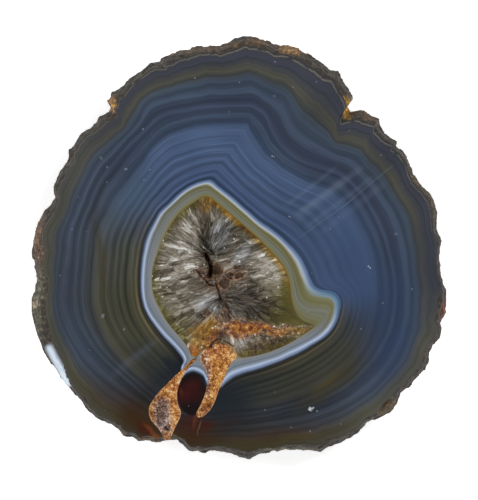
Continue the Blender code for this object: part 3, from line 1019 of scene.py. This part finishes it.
# Patches over the bands, by colour. Each: centre, half width, half height, turn, edge and amount.
FACE_TINTS = [
    ("#46596e", [((128, 200), 16, 26, -35, 0.8, 0.45), ((86, 345), 14, 40, 28, 0.8, 0.15)]),
    ("#343840", [((60, 290), 8, 60, 0, 0.8, 0.45), ((424, 250), 10, 66, 6, 0.8, 0.45),
                 ((330, 100), 30, 14, 40, 0.8, 0.30), ((392, 150), 34, 12, 48, 0.8, 0.30)]),
    ("#2a3e62", [((352, 268), 22, 60, 8, 0.8, 0.35), ((390, 322), 26, 56, -10, 0.8, 0.45),
                 ((398, 350), 12, 26, -26, 0.8, 0.15)]),
    ("#1a222a", [((228, 408), 22, 24, 10, 0.8, 0.70), ((300, 408), 34, 8, 14, 0.8, 0.45),
                 ((150, 366), 26, 10, -52, 0.8, 0.35), ((170, 365), 8, 3.5, -45, 0.6, 0.80)]),
    ("#3e3820", [((100, 255), 4, 42, 6, 0.7, 0.50), ((352, 352), 16, 22, -30, 0.8, 0.20),
                 ((330, 386), 36, 8, 35, 0.8, 0.60), ((255, 445), 34, 7, 3, 0.7, 0.45)]),
    ("#3a2612", [((388, 407), 9, 5, 40, 0.35, 0.85), ((120, 402), 26, 14, -40, 0.8, 0.25),
                 ((138, 418), 16, 12, -30, 0.8, 0.60), ((222, 424), 16, 7, 15, 0.8, 0.30),
                 ((286, 433), 26, 3, 6, 0.8, 0.40), ((190, 436), 18, 9, 0, 0.7, 0.70)]),
    ("#40190e", [((444, 312), 4.5, 12, 0, 0.35, 0.85), ((194, 424), 14, 9, 0, 0.7, 0.70),
                 ((207, 425), 5, 5, 0, 0.8, 0.45), ((147, 431), 12, 7, -48, 0.6, 0.80)]),
    ("#54461e", [((326, 382), 13, 3.0, 36, 0.8, 0.45), ((300, 438), 20, 2.4, 8, 0.8, 0.30)]),
    ("#7e4620", [((153, 433), 10, 2.6, -52, 0.7, 0.50), ((158, 438), 4, 2.4, -40, 0.8, 0.40),
                 ((148, 440), 12, 1.8, -6, 0.7, 0.30), ((194, 421), 2.0, 6, 0, 0.8, 0.30)]),
    ("#6c5c4c", [((200, 427), 0.7, 7, 0, 0.6, 0.45)]),
]
# The dark eye between the channels
EYE = ((191.5, 394), 14.5, 21.5, 6)
EYE_COLOUR = "#160b0c"
EYE_TINTS = [
    ("#441410", [((184, 395), 7, 8, 0, 0.8, 0.55), ((194, 390), 7, 10, 0, 0.8, 0.40),
                 ((192, 383), 8, 4, 0, 0.8, 0.30)]),
    ("#7c3218", [((182, 391), 1.6, 4.0, 0, 0.9, 0.25)]),
]
# Pale rays across the bands: start, end, half width and strength
RAYS = [
    ((300, 237), (352, 200), 0.7, 0.08), ((345, 205), (392, 166), 0.7, 0.09),
    ((296, 218), (345, 180), 5.0, 0.07), ((300, 212), (362, 168), 3.0, 0.07),
    ((287, 205), (335, 168), 2.2, 0.06), ((308, 226), (372, 178), 2.6, 0.06),
    ((322, 232), (384, 184), 3.4, 0.04), ((112, 376), (150, 348), 4.0, 0.035),
    ((122, 364), (160, 338), 3.0, 0.03),
]
# Specks and pits in the polish, by colour: place, half width in sheet steps and amount
SPECKS = [
    ("#98a2ae", [((126, 169), 1.7, 0.45), ((107, 167), 1.3, 0.35), ((143, 129), 0.8, 0.7),
                 ((152, 134), 0.6, 0.6), ((101, 158), 1.4, 0.25), ((107, 182), 0.8, 0.65),
                 ((78, 197), 0.6, 0.65), ((195, 78), 0.7, 0.6), ((229, 112), 0.8, 0.45),
                 ((275, 62), 0.6, 0.8), ((274.5, 96), 1.6, 0.2), ((312, 273), 0.6, 0.6),
                 ((396, 234), 2.0, 0.2), ((383, 303), 1.2, 0.4), ((412, 289), 0.7, 0.5),
                 ((103, 316), 2.2, 0.4), ((124, 329), 1.2, 0.4), ((60, 275), 0.8, 0.5),
                 ((89, 350), 0.6, 0.75), ((265, 410), 0.6, 0.75), ((310, 431), 0.8, 0.6),
                 ((291, 427), 0.7, 0.6), ((275, 392), 0.7, 0.5), ((341, 424), 0.6, 0.75)]),
    ("#d0d8e0", [((144, 180), 0.7, 0.65), ((150, 170), 0.5, 0.5), ((272, 156), 0.8, 0.50),
                 ((274, 156.6), 0.7, 0.40), ((289, 216.5), 0.7, 0.60), ((290.6, 217.5), 0.6, 0.50),
                 ((368.6, 266.4), 0.8, 0.9), ((370, 268), 0.7, 0.7), ((310.4, 409), 2.2, 0.9),
                 ((313, 408), 1.2, 0.7), ((317, 411), 0.7, 0.5), ((188.4, 406), 0.5, 0.7)]),
    ("#14181c", [((128, 139), 1.0, 0.8)]),
]
SPECK_REACH = 0.8
SPECK_EDGE = 0.5
# The pale hairline just inside the polished face's rim: how plain it is, round the stone
HAIRLINE_ROUND = [(0.0, 0.7), (0.17, 0.6), (0.24, 0.1), (0.72, 0.1), (0.8, 0.4), (1.0, 0.7)]
# Fine lines in the white band, in turns for each whole growth
CORE_LINES = 230.0


def grey(brightness):
    """A brightness as a colour."""
    return (brightness, brightness, brightness, 1.0)


def grey_reading(finish, reading):
    """A brightness that varies, as a grey."""
    return finish.combined(reading, reading, reading)


def banded_colour(finish):
    """The place, the growth and the stone's colour from its growth bands."""
    place = finish.place()
    turn, growth = finish.growth()
    ripple = finish.noise(place, 260.0, 3.0) - 0.5
    growth = growth + ripple * 0.009
    near = turn + (finish.noise(place, 55.0, 2.0) - 0.5) * finish.step(turn, 0.0, 0.08) * 0.10
    olive = finish.curve(near, OLIVE_ROUND)
    brown = finish.curve(near, BROWN_ROUND)
    broad = finish.ramp(growth, painted(BLUE_SIDE))
    broad = finish.mix(olive, broad, finish.ramp(growth, painted(OLIVE_SIDE)))
    broad = finish.mix(brown, broad, finish.ramp(growth, painted(BROWN_SIDE)))
    rounded = turn * math.tau
    cosine = rounded.sum("COSINE", rounded, 0.0)
    sine = rounded.sum("SINE", rounded, 0.0)
    layers = finish.noise(finish.combined(cosine, sine, growth * 70.0), 1.3, 4.0, 0.65) - 0.5
    around = finish.curve(turn, LINES_ROUND)
    strength = finish.mix(finish.step(growth, 0.40, 0.50), grey(0.85), around)
    lines = finish.mix(strength, grey(1.0), finish.curve(growth, LINES))
    colour = finish.mix(1.0, broad, lines, "MULTIPLY")
    amount = finish.mix(finish.step(growth, 0.0, 0.3), grey(0.8), around) * 1.5
    shade = layers * amount + 1.0
    shade = shade * ((finish.noise(place, 70.0, 2.0) - 0.5) * 0.5 + 1.0)
    lit = finish.curve(near, SHADE_ROUND)
    shade = shade * finish.mix(finish.step(growth, 0.38, 0.48), grey(0.9), lit)
    colour = finish.mix(1.0, colour, grey_reading(finish, shade), "MULTIPLY")
    inner = growth + finish.curve(turn, [(spot, shift + 0.1) for spot, shift in CORE_SHIFT]) - 0.1
    core = finish.mix(finish.curve(turn, COOL_ROUND), finish.ramp(inner, painted(WARM_CORE)),
                      finish.ramp(inner, painted(COOL_CORE)))
    core = finish.mix(finish.curve(turn, BLUE_CORE_ROUND), core, finish.ramp(inner, painted(BLUE_CORE)))
    fine = inner * CORE_LINES
    core_shade = layers * 0.6 + fine.sum("SINE", fine, 0.0) * 0.07 + 1.0
    core = finish.mix(1.0, core, grey_reading(finish, core_shade), "MULTIPLY")
    colour = finish.mix(finish.step(inner, 0.788, 0.798), colour, core)
    hairline = finish.step(growth, 0.006, 0.012) * finish.step(growth, 0.022, 0.016)
    hairline = hairline * finish.step(finish.noise(place, 500.0), 0.32, 0.50)
    hairline = hairline * finish.curve(turn, HAIRLINE_ROUND)
    colour = finish.mix(hairline * 0.7, colour, paint("#8c8678"))
    return place, growth, colour


def polished_agate():
    finish = Finish("polished_agate", {"Roughness": 0.09, "IOR": 1.54})
    place, growth, colour = banded_colour(finish)
    ragged = finish.ragged(place, 220.0, 0.003)
    outside = finish.step(growth, 0.80, 0.78)
    patched = finish.tinted(ragged, colour, FACE_TINTS)
    centre, half_width, half_height, turned = EYE
    eye = finish.tinted(ragged, paint(EYE_COLOUR), EYE_TINTS)
    inside = finish.masked(place, [(centre, half_width, half_height, turned, 0.08, 1.0)])
    patched = finish.mix(inside, patched, eye)
    colour = finish.mix(outside, colour, patched)
    rays = None
    for start, end, half_width, strength in RAYS:
        ray = finish.streak(place, start, end, half_width) * strength
        rays = ray if rays is None else rays + ray
    colour = finish.mix(rays * outside, colour, paint("#a0b0cc"))
    crumbly = finish.ragged(place, 1700.0, 0.0009)
    for code, specks in SPECKS:
        ovals = []
        for centre, half_width, amount in specks:
            reach = half_width * SPECK_REACH
            ovals.append((centre, reach, reach, 0.0, SPECK_EDGE, amount))
        colour = finish.mix(finish.masked(crumbly, ovals), colour, paint(code))
    dust = finish.step(finish.cells(place, 260.0), 0.07, 0.04)
    dust = dust * finish.step(finish.noise(place, 90.0), 0.52, 0.62)
    colour = finish.mix(dust * 0.35, colour, paint("#98a4b0"))
    finish.feed("Base Color", colour)
    return finish.material


def sawn_agate():
    finish = Finish("sawn_agate", {"Roughness": 0.55, "IOR": 1.54})
    place, growth, colour = banded_colour(finish)
    quartz = finish.mix(finish.noise(place, 900.0, 3.0, 0.7), paint("#504b42"), paint("#99938a"))
    colour = finish.mix(finish.step(growth, 1.0, 1.08), colour, quartz)
    colour = finish.mix(0.35, colour, paint("#8a8e94"))
    marks = finish.noise(finish.vector("MULTIPLY", place, (1.0, 0.015, 1.0)), 1500.0, 2.0)
    finish.feed("Base Color", colour)
    finish.bump(marks, 0.10, 0.000015)
    return finish.material


# Places on the rind, by colour: centre, half width, half height, turn, edge and amount
RIND_TINTS = [
    ("#5c4426", [((206, 48), 44, 4, 6, 0.7, 0.45), ((262, 40), 14, 5, 0, 0.6, 0.60),
                 ((372, 116), 14, 5, -20, 0.6, 0.55), ((150, 440), 22, 5, 8, 0.7, 0.70),
                 ((425, 190), 10, 30, 30, 0.7, 0.30)]),
    ("#664a38", [((38, 236), 8, 34, 8, 0.5, 0.80), ((36, 232), 5, 14, 8, 0.6, 0.30)]),
    ("#bca490", [((34, 304), 3.5, 3.5, 0, 0.4, 0.90)]),
    ("#66624f", [((36, 305), 7, 40, -4, 0.6, 0.55), ((300, 451), 40, 4, 0, 0.7, 0.45)]),
    ("#6a2e18", [((446, 312), 5, 13, 0, 0.4, 0.90)]),
    ("#54421c", [((388, 408), 10, 8, 40, 0.5, 0.80)]),
    ("#a07828", [((347, 108), 5, 11, 0, 0.5, 0.90)]),
    ("#b08448", [((292, 49), 12, 5, -8, 0.6, 0.55), ((112, 104), 5, 8, 0, 0.5, 0.75)]),
]
# A fresh flat break in the rind, smoother, with a painted whitish-blue reflection laid on it: its two ends
# and half width
GLOSSY_FACET_WITH_REFLECTION = ((48, 346), (69, 386), 4.0)


def weathered_rind():
    finish = Finish("weathered_rind", {"IOR": 1.5})
    place = finish.place()
    blotches_and_glints = finish.noise(place, 1000.0, 4.0, 0.75)
    base = finish.mix(finish.noise(place, 60.0), paint("#34261a"), paint("#3a3830"))
    ragged = finish.ragged(place, 400.0, 0.0025)
    _, growth = finish.growth()
    down = growth + (finish.noise(place, 160.0) - 0.5) * 0.5
    upper = finish.step(down, -0.75, -0.40, 0.15, 1.0)
    base = finish.tinted(ragged, base, RIND_TINTS, upper)
    # Blotchy tones of the rind; tones above 1 on this ramp are painted highlights, whitish glints on the
    # rough rind
    tone = finish.ramp(blotches_and_glints, [(0.30, (0.15, 0.15, 0.15, 1.0)), (0.44, (0.50, 0.50, 0.50, 1.0)),
                                (0.54, (0.9, 0.9, 0.9, 1.0)), (0.61, (1.9, 1.9, 1.85, 1.0)),
                                (0.70, (4.2, 4.2, 4.3, 1.0))])
    colour = finish.mix(1.0, base, tone, "MULTIPLY")
    start, end, half_width = GLOSSY_FACET_WITH_REFLECTION
    facet_and_reflection = finish.streak(place, start, end, half_width, 3.0) * upper
    # The break's whitish-blue colour is a painted reflection; its lower roughness is the break's own gloss
    colour = finish.mix(facet_and_reflection * 0.95, colour, paint("#c8d8e8"))
    finish.feed("Base Color", colour)
    finish.feed("Roughness", 0.75 - facet_and_reflection * 0.6)
    finish.bump(finish.noise(place, 2600.0, 4.0, 0.6) * (1.0 - facet_and_reflection), 0.6, 0.0002)
    return finish.material


# Greyish grains of the channel fills, and whitish grains where painted glints lie: centre, half width, half
# height, turn, edge, amount
GREY_GRAINS = [
    ((162, 410), 8, 12, 0, 0.6, 0.9), ((163, 425), 9, 9, 0, 0.6, 0.9), ((205, 366), 5, 17, 8, 0.7, 0.7),
    ((207, 385), 3, 12, 0, 0.7, 0.6), ((203, 411), 5, 5, 0, 0.7, 0.4),
]
WHITE_GRAINS_AND_GLINTS = [
    ((163, 405), 5, 7, 0, 0.7, 0.9), ((165, 421), 8, 8, -45, 0.7, 0.7), ((208, 379), 3, 12, 0, 0.8, 0.5),
    ((168, 434), 5, 7, 0, 0.7, 0.8),
]
DARK_GRAINS = [
    ((161, 412), 8, 14, 0, 0.7, 0.58), ((160, 424), 4, 2.5, -45, 0.5, 0.6),
    ((167, 429), 3.5, 2.2, -45, 0.5, 1.0), ((211, 345), 3, 4, -40, 0.6, 1.0),
    ((222, 342), 7, 2.5, -10, 0.7, 0.9), ((234, 349), 4, 4, 0, 0.7, 0.7),
]
RED_GRAINS = [
    ((172, 381), 6, 12, -30, 0.7, 0.4), ((214, 348), 12, 7, 0, 0.7, 0.5), ((176, 401), 4, 14, 0, 0.7, 0.3),
]


def iron_grains():
    finish = Finish("iron_stained_grains", {"Roughness": 0.42, "IOR": 1.5})
    place = finish.place()
    ragged = finish.ragged(place, 700.0, 0.0012)
    flow = finish.ragged(place, 900.0, 0.0006)
    coarse = finish.noise(flow, 1050.0, 4.0, 0.8)
    sparkle = finish.noise(flow, 3800.0, 2.0, 0.7)
    gaps = finish.step(finish.cells(flow, 1900.0, "DISTANCE_TO_EDGE"), 0.0, 0.16)
    blocks = finish.cell_number(flow, 1700.0)
    patchy = finish.noise(place, 330.0, 2.0)
    tone = (coarse - 0.5) * 1.8 + (patchy - 0.5) * 0.7 + (sparkle - 0.5) * 1.2
    tone = tone + (blocks - 0.5) * 0.16 + gaps * 0.05 + 0.50
    golden = finish.ramp(tone, painted([
        (0.10, "#341408"), (0.26, "#6c3208"), (0.42, "#a65e10"), (0.56, "#c88222"), (0.68, "#e0a650"),
        (0.84, "#fcdca4"),
    ]))
    red = finish.ramp(tone, painted([
        (0.14, "#340e06"), (0.32, "#7e300c"), (0.48, "#b05c1c"), (0.64, "#d89458"), (0.80, "#f8d8b8"),
    ]))
    grey = finish.ramp(tone, painted([
        (0.14, "#241412"), (0.32, "#4c2c24"), (0.46, "#7c4c38"), (0.58, "#ac7c62"), (0.68, "#d4b29c"),
        (0.80, "#fcf0e8"),
    ]))
    colour = finish.mix(finish.masked(ragged, RED_GRAINS), golden, red)
    colour = finish.mix(finish.masked(ragged, GREY_GRAINS), colour, grey)
    # Painted glints: pinkish-white spots among the whitish grains
    painted_glints = finish.step(finish.noise(flow, 2400.0, 2.0, 0.6), 0.56, 0.61)
    painted_glints = painted_glints * finish.masked(ragged, WHITE_GRAINS_AND_GLINTS)
    colour = finish.mix(painted_glints, colour, paint("#f4e4dc"))
    colour = finish.mix(finish.masked(flow, DARK_GRAINS) * 0.9, colour, paint("#2a120c"))
    lip = finish.step(finish.attribute("lip") + (coarse - 0.5) * 0.9, 0.50, 0.90)
    colour = finish.mix(lip * 0.42, colour, finish.mix(coarse, paint("#a87858"), paint("#f0ccb4")))
    finish.feed("Base Color", colour)
    finish.bump(tone, 0.5, 0.0002)
    return finish.material


# The quartz: where its blades are lighter or darker, with painted glints at some lighter places, and where
# they are iron-stained, golden, olive or grey-blue. Each: centre, half width, half height, turn, edge and
# amount.
QUARTZ_TONE_AND_GLINTS = [
    ((176, 256), 20, 26, 0, 0.7, 0.05), ((177, 247), 12, 4, -14, 0.7, 0.16),
    ((186, 262), 18, 3.2, -12, 0.7, 0.14), ((190, 226), 11, 14, -30, 0.8, 0.10),
    ((205, 236), 6, 22, -6, 0.7, -0.26), ((216, 252), 12, 6, 0, 0.8, -0.16),
    ((241, 255), 15, 4, 52, 0.7, 0.20), ((271, 270), 16, 15, 0, 0.8, 0.22),
    ((246, 303), 26, 13, -20, 0.7, -0.28), ((206, 302), 12, 7, 30, 0.7, 0.14),
    ((204, 313), 8, 3.5, 10, 0.6, -0.30), ((176, 300), 16, 22, 20, 0.8, 0.02),
    ((248, 236), 18, 10, -40, 0.8, -0.08), ((276, 312), 16, 14, 0, 0.8, -0.10),
    ((268, 344), 24, 8, 18, 0.8, -0.20), ((247, 343), 8, 4, 10, 0.8, 0.16),
    ((256, 282), 12, 10, 0, 0.8, -0.10), ((226, 314), 8, 9, 0, 0.7, -0.12),
    ((206, 275), 7, 16, 10, 0.8, -0.10), ((222, 336), 12, 5, 0, 0.7, -0.12),
    ((224, 274), 18, 12, 0, 0.8, -0.06),
]
QUARTZ_RUST = [
    ((246, 326), 24, 5.5, -6, 0.6, 1.0), ((238, 333), 16, 6, 0, 0.7, 0.8), ((212, 338), 9, 6, 30, 0.7, 0.9),
    ((196, 354), 6, 8, 35, 0.7, 0.9), ((274, 330), 14, 3.5, -10, 0.7, 0.5),
    ((213, 285), 12, 18, 20, 0.8, 0.12), ((224, 273), 20, 11, 0, 0.8, 0.12),
    ((238, 276), 7, 5, 0, 0.7, 0.3),
]
QUARTZ_GOLD = [
    ((203, 336), 12, 13, 40, 0.6, 1.0), ((200, 350), 12, 10, 40, 0.7, 0.9), ((213, 324), 8, 9, 0, 0.7, 0.8),
    ((290, 331), 18, 4, 2, 0.7, 0.8), ((268, 331), 14, 4, -10, 0.7, 0.4),
    ((262, 344), 24, 7, 18, 0.7, 0.30), ((206, 205), 6, 6, 0, 0.8, 0.7), ((230, 214), 26, 4, -40, 0.7, 0.5),
]
QUARTZ_OLIVE = [
    ((268, 318), 18, 9, 0, 0.7, 0.6), ((182, 330), 18, 12, -50, 0.7, 0.6),
    ((160, 292), 8, 26, 10, 0.8, 0.4), ((262, 352), 30, 5, 16, 0.6, 0.7), ((182, 214), 20, 7, 45, 0.7, 0.3),
    ((276, 300), 10, 20, 0, 0.8, 0.5),
]
QUARTZ_BLUE = [
    ((220, 235), 9, 15, -20, 0.8, 0.7), ((241, 256), 15, 7, 52, 0.7, 0.5),
    ((209, 303), 12, 9, 30, 0.7, 0.6), ((247, 343), 9, 6, 10, 0.8, 0.5),
]
# Where the quartz is smooth and olive, and where it is grainy without blades
QUARTZ_CALM = [((293, 304), 11, 20, 12, 0.5, 1.0), ((287, 320), 16, 5.5, 4, 0.5, 0.9)]
QUARTZ_GRAINY = [
    ((246, 328), 26, 9, -4, 0.5, 1.0), ((205, 344), 14, 16, 30, 0.5, 1.0),
    ((262, 344), 28, 9, 18, 0.6, 0.8), ((290, 331), 20, 6, 0, 0.5, 1.0), ((226, 278), 16, 12, 0, 0.7, 0.6),
    ((224, 318), 12, 12, 0, 0.6, 0.8),
]
# Where the quartz's edging starts, as a share of the way out, round the hollow
BORDER_ROUND = [
    (0.0, 0.93), (0.06, 0.91), (0.25, 0.91), (0.36, 0.90), (0.50, 0.95), (0.66, 0.94), (0.80, 0.95),
    (1.0, 0.93),
]
# How finely the quartz is broken up, and how closely its painted glints lie, each for one metre
SHEAVES = 210.0
BLADE_CELLS = 1150.0
PAINTED_GLINT_CELLS = 1700.0
FACET_CELLS = 520.0
PAINTED_SPARKLE_CELLS = 460.0


def quartz_crystal():
    finish = Finish("quartz_crystal", {"Roughness": 0.24, "IOR": 1.54, "Transmission Weight": 0.12})
    place = finish.place()
    ragged = finish.ragged(place, 330.0, 0.003)
    sheaves = finish.cells(ragged, SHEAVES, output="Color")
    sheaves = finish.vector("SUBTRACT", sheaves, (0.5, 0.5, 0.5))
    bent = finish.ragged(finish.vector("ADD", place, finish.scaled(sheaves, 0.0045)), 300.0, 0.0012)
    start, end = [on_slab(point) for point in SPREAD_LINE]
    along = end - start
    flat = along / along.length_squared
    share = finish.vector("DOT_PRODUCT", bent, flat, "Value") - start.dot(flat)
    share = finish.node("ShaderNodeClamp", {}, {"Value": share})
    nearest = finish.vector("ADD", finish.scaled(along, share), start)
    away = finish.vector("MULTIPLY", finish.vector("SUBTRACT", bent, nearest), (1.0, 1.0, 0.0))
    reach = finish.vector("LENGTH", away, output="Value")
    ring = finish.vector("ADD", nearest, finish.scaled(finish.vector("NORMALIZE", away), SPREAD_REACH))
    spot = finish.vector("ADD", ring, finish.combined(0.0, 0.0, reach * 0.20))
    blade = finish.cell_number(spot, BLADE_CELLS) - 0.5
    seams = finish.step(finish.cells(spot, BLADE_CELLS, "DISTANCE_TO_EDGE"), 0.0, 0.14) - 1.0
    fibre = finish.noise(spot, 2300.0, 2.0, 0.6) - 0.5
    fine = finish.noise(spot, 5200.0, 1.0, 0.6) - 0.5
    sheaf = finish.noise(spot, 420.0, 2.0, 0.5) - 0.5
    grit = finish.noise(place, 4200.0, 2.0, 0.7) - 0.5
    turn, out = finish.growth()
    # Lighter and darker places of the quartz; some of the lighter ones are painted glints
    light = finish.masked(ragged, QUARTZ_TONE_AND_GLINTS)
    # Painted glints: the lightest blade cells are lifted to white as if catching the light
    painted_glints = finish.step(finish.cell_number(spot, PAINTED_GLINT_CELLS), 0.86, 0.90) * 0.22
    facets = finish.cell_number(spot, FACET_CELLS) - 0.5
    bladed = blade * 0.26 + seams * 0.12 + facets * 0.16 + fibre * 0.32
    bladed = bladed + fine * 0.30 + sheaf * 0.30 + grit * 0.35 + painted_glints
    grainy = grit * 0.9 + (finish.noise(place, 800.0, 4.0, 0.75) - 0.5) * 1.8
    tone = bladed + (grainy - bladed) * finish.masked(ragged, QUARTZ_GRAINY)
    calm = finish.node("ShaderNodeClamp", {}, {"Value": finish.masked(ragged, QUARTZ_CALM)})
    tone = tone * (1.0 - calm * 0.85) + light + 0.46
    colour = finish.ramp(tone, painted([
        (0.06, "#261f17"), (0.26, "#4c4437"), (0.40, "#70685a"), (0.54, "#928a7b"), (0.68, "#b6b0a4"),
        (0.82, "#dedbd6"), (0.96, "#fcfcfa"),
    ]))
    blue = finish.ramp(tone, painted([
        (0.10, "#181a1e"), (0.34, "#4c5054"), (0.54, "#8a9098"), (0.70, "#bcc0cc"), (0.86, "#fcfcff"),
    ]))
    olive = finish.ramp(tone, painted([
        (0.10, "#28220c"), (0.34, "#504822"), (0.52, "#6c6434"), (0.70, "#968e60"), (0.88, "#ece8d0"),
    ]))
    gold = finish.ramp(tone, painted([
        (0.10, "#3a2204"), (0.30, "#6c480a"), (0.50, "#9a701c"), (0.68, "#c0984a"), (0.88, "#f4e4b8"),
    ]))
    rust = finish.ramp(tone, painted([
        (0.10, "#2c1206"), (0.28, "#66300a"), (0.44, "#965410"), (0.58, "#c07820"), (0.72, "#dea456"),
        (0.90, "#fce4bc"),
    ]))
    border = out + (finish.noise(place, 700.0, 3.0) - 0.5) * 0.07 - finish.curve(turn, BORDER_ROUND)
    colour = finish.mix(finish.masked(ragged, QUARTZ_BLUE), colour, blue)
    edging = finish.step(border, -0.07, 0.04) * 0.75 + finish.masked(ragged, QUARTZ_OLIVE) + calm
    colour = finish.mix(edging, colour, olive)
    colour = finish.mix(finish.step(border, 0.0, 0.05) * finish.step(turn, 0.27, 0.2) * 0.7, colour, gold)
    colour = finish.mix(finish.masked(ragged, QUARTZ_GOLD), colour, gold)
    colour = finish.mix(finish.masked(ragged, QUARTZ_RUST), colour, rust)
    # Painted glints: tiny white dots scattered over the quartz
    painted_sparkles = finish.step(finish.cells(place, PAINTED_SPARKLE_CELLS), 0.13, 0.08)
    painted_sparkles = painted_sparkles * finish.step(finish.noise(place, 330.0), 0.47, 0.55)
    colour = finish.mix(painted_sparkles * 0.8, colour, paint("#fffdf6"))
    openness = finish.attribute("openness")
    # Inside the openings: brown stain, deepening to painted shade of near black towards their middles
    inside = finish.mix(finish.step(openness, 0.60, 1.0), paint("#5c4434"), paint("#1e0d06"))
    walls = finish.step(openness, 0.0, 0.12) * finish.step(openness, 0.42, 0.26)
    walls = walls * finish.step(finish.noise(place, 1100.0), 0.36, 0.54)
    wall_colour = finish.ramp(grit + 0.5, painted([(0.3, "#7c5434"), (0.7, "#d0aa8c")]))
    inside = finish.mix(walls, inside, wall_colour)
    colour = finish.mix(finish.step(openness, 0.02, 0.25) * 0.9, colour, inside)
    finish.feed("Base Color", colour)
    finish.bump(tone, 0.4, 0.0003)
    return finish.material


def make_stone(finishes):
    rows = stone_rows()
    stone = as_object(woven(rows, stone_bake), "banded_stone", finishes, sharp_angle=40)
    cutters = [channel_cutter("left_cutter", LEFT_CHANNEL), channel_cutter("right_cutter", RIGHT_CHANNEL)]
    carve(stone, cutters)
    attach(stone, "root")
    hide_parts("agate_slice")


# A white floor that bends up at its rim: radius and bend in metres, its sides, and the bend's rows of faces
FLOOR_RADIUS = 2.2
FLOOR_BEND = 0.7
FLOOR_SIDES = 96
FLOOR_CUTS = 8
FLOOR_WHITE = (0.95, 0.95, 0.95, 1.0)
FLOOR_GLOW = 0.6
WHITE = (1.0, 1.0, 1.0, 1.0)


def make_stage():
    mesh = bmesh.new()
    bmesh.ops.create_circle(mesh, cap_ends=True, segments=FLOOR_SIDES, radius=FLOOR_RADIUS)
    ring = [edge for edge in mesh.edges if edge.is_boundary]
    for step in range(1, FLOOR_CUTS + 1):
        angle = math.radians(90 * step / FLOOR_CUTS)
        grown = bmesh.ops.extrude_edge_only(mesh, edges=ring)["geom"]
        verts = [item for item in grown if isinstance(item, bmesh.types.BMVert)]
        ring = [item for item in grown if isinstance(item, bmesh.types.BMEdge)]
        radius = FLOOR_RADIUS + FLOOR_BEND * math.sin(angle)
        for vert in verts:
            flat = Vector((vert.co.x, vert.co.y, 0)).normalized()
            vert.co = flat * radius + Vector((0, 0, FLOOR_BEND * (1 - math.cos(angle))))
    bmesh.ops.recalc_face_normals(mesh, faces=mesh.faces)
    glow = {"Emission Color": WHITE, "Emission Strength": FLOOR_GLOW}
    finish = Finish("studio_floor", {"Base Color": FLOOR_WHITE, "Roughness": 0.9, **glow})
    floor = as_object(mesh, "studio_floor", [finish.material], sharp_angle=180)


# The camera looks straight down from far off: its focal length in millimetres, and the sheet steps it sees
LENS = 400.0
VIEW_STEPS = 500
# Lights: name, place, size and power
LIGHTS = [
    ("key_light", (0.55, 0.45, 0.75), 0.35, 4.7), ("left_light", (-0.75, 0.25, 0.6), 0.5, 3.9),
    ("front_light", (0.0, -0.8, 0.65), 0.5, 3.3),
]
WORLD_STRENGTH = 0.12


def area_light(name, place, size, power):
    data = bpy.data.lights.new(name, "AREA")
    data.shape = "DISK"
    data.size = size
    data.energy = power
    light = bpy.data.objects.new(name, data)
    light.location = place
    light.rotation_euler = (-Vector(place)).to_track_quat("-Z", "Y").to_euler()
    bpy.context.scene.collection.objects.link(light)


def make_studio():
    for light in LIGHTS:
        area_light(*light)
    world = bpy.data.worlds.new("studio")
    world.use_nodes = True
    background = world.node_tree.nodes["Background"]
    background.inputs["Color"].default_value = WHITE
    background.inputs["Strength"].default_value = WORLD_STRENGTH
    bpy.context.scene.world = world
    bpy.context.scene.view_settings.view_transform = "Standard"
    camera = bpy.data.cameras.new("camera")
    camera.lens = LENS
    seat = bpy.data.objects.new("camera", camera)
    above_face = VIEW_STEPS * STEP * LENS / camera.sensor_width
    seat.location = (0.0, (SHEET_MIDDLE[1] - VIEW_STEPS / 2) * STEP, THICKNESS + above_face)
    bpy.context.scene.collection.objects.link(seat)
    bpy.context.scene.camera = seat


def main():
    make_studio()
    make_stage()
    make_stone([polished_agate(), weathered_rind(), sawn_agate()])
    grains = iron_grains()
    iron_fill("left_iron_grains", LEFT_CHANNEL, grains)
    iron_fill("right_iron_grains", RIGHT_CHANNEL, grains)
    make_quartz(quartz_crystal())


main()
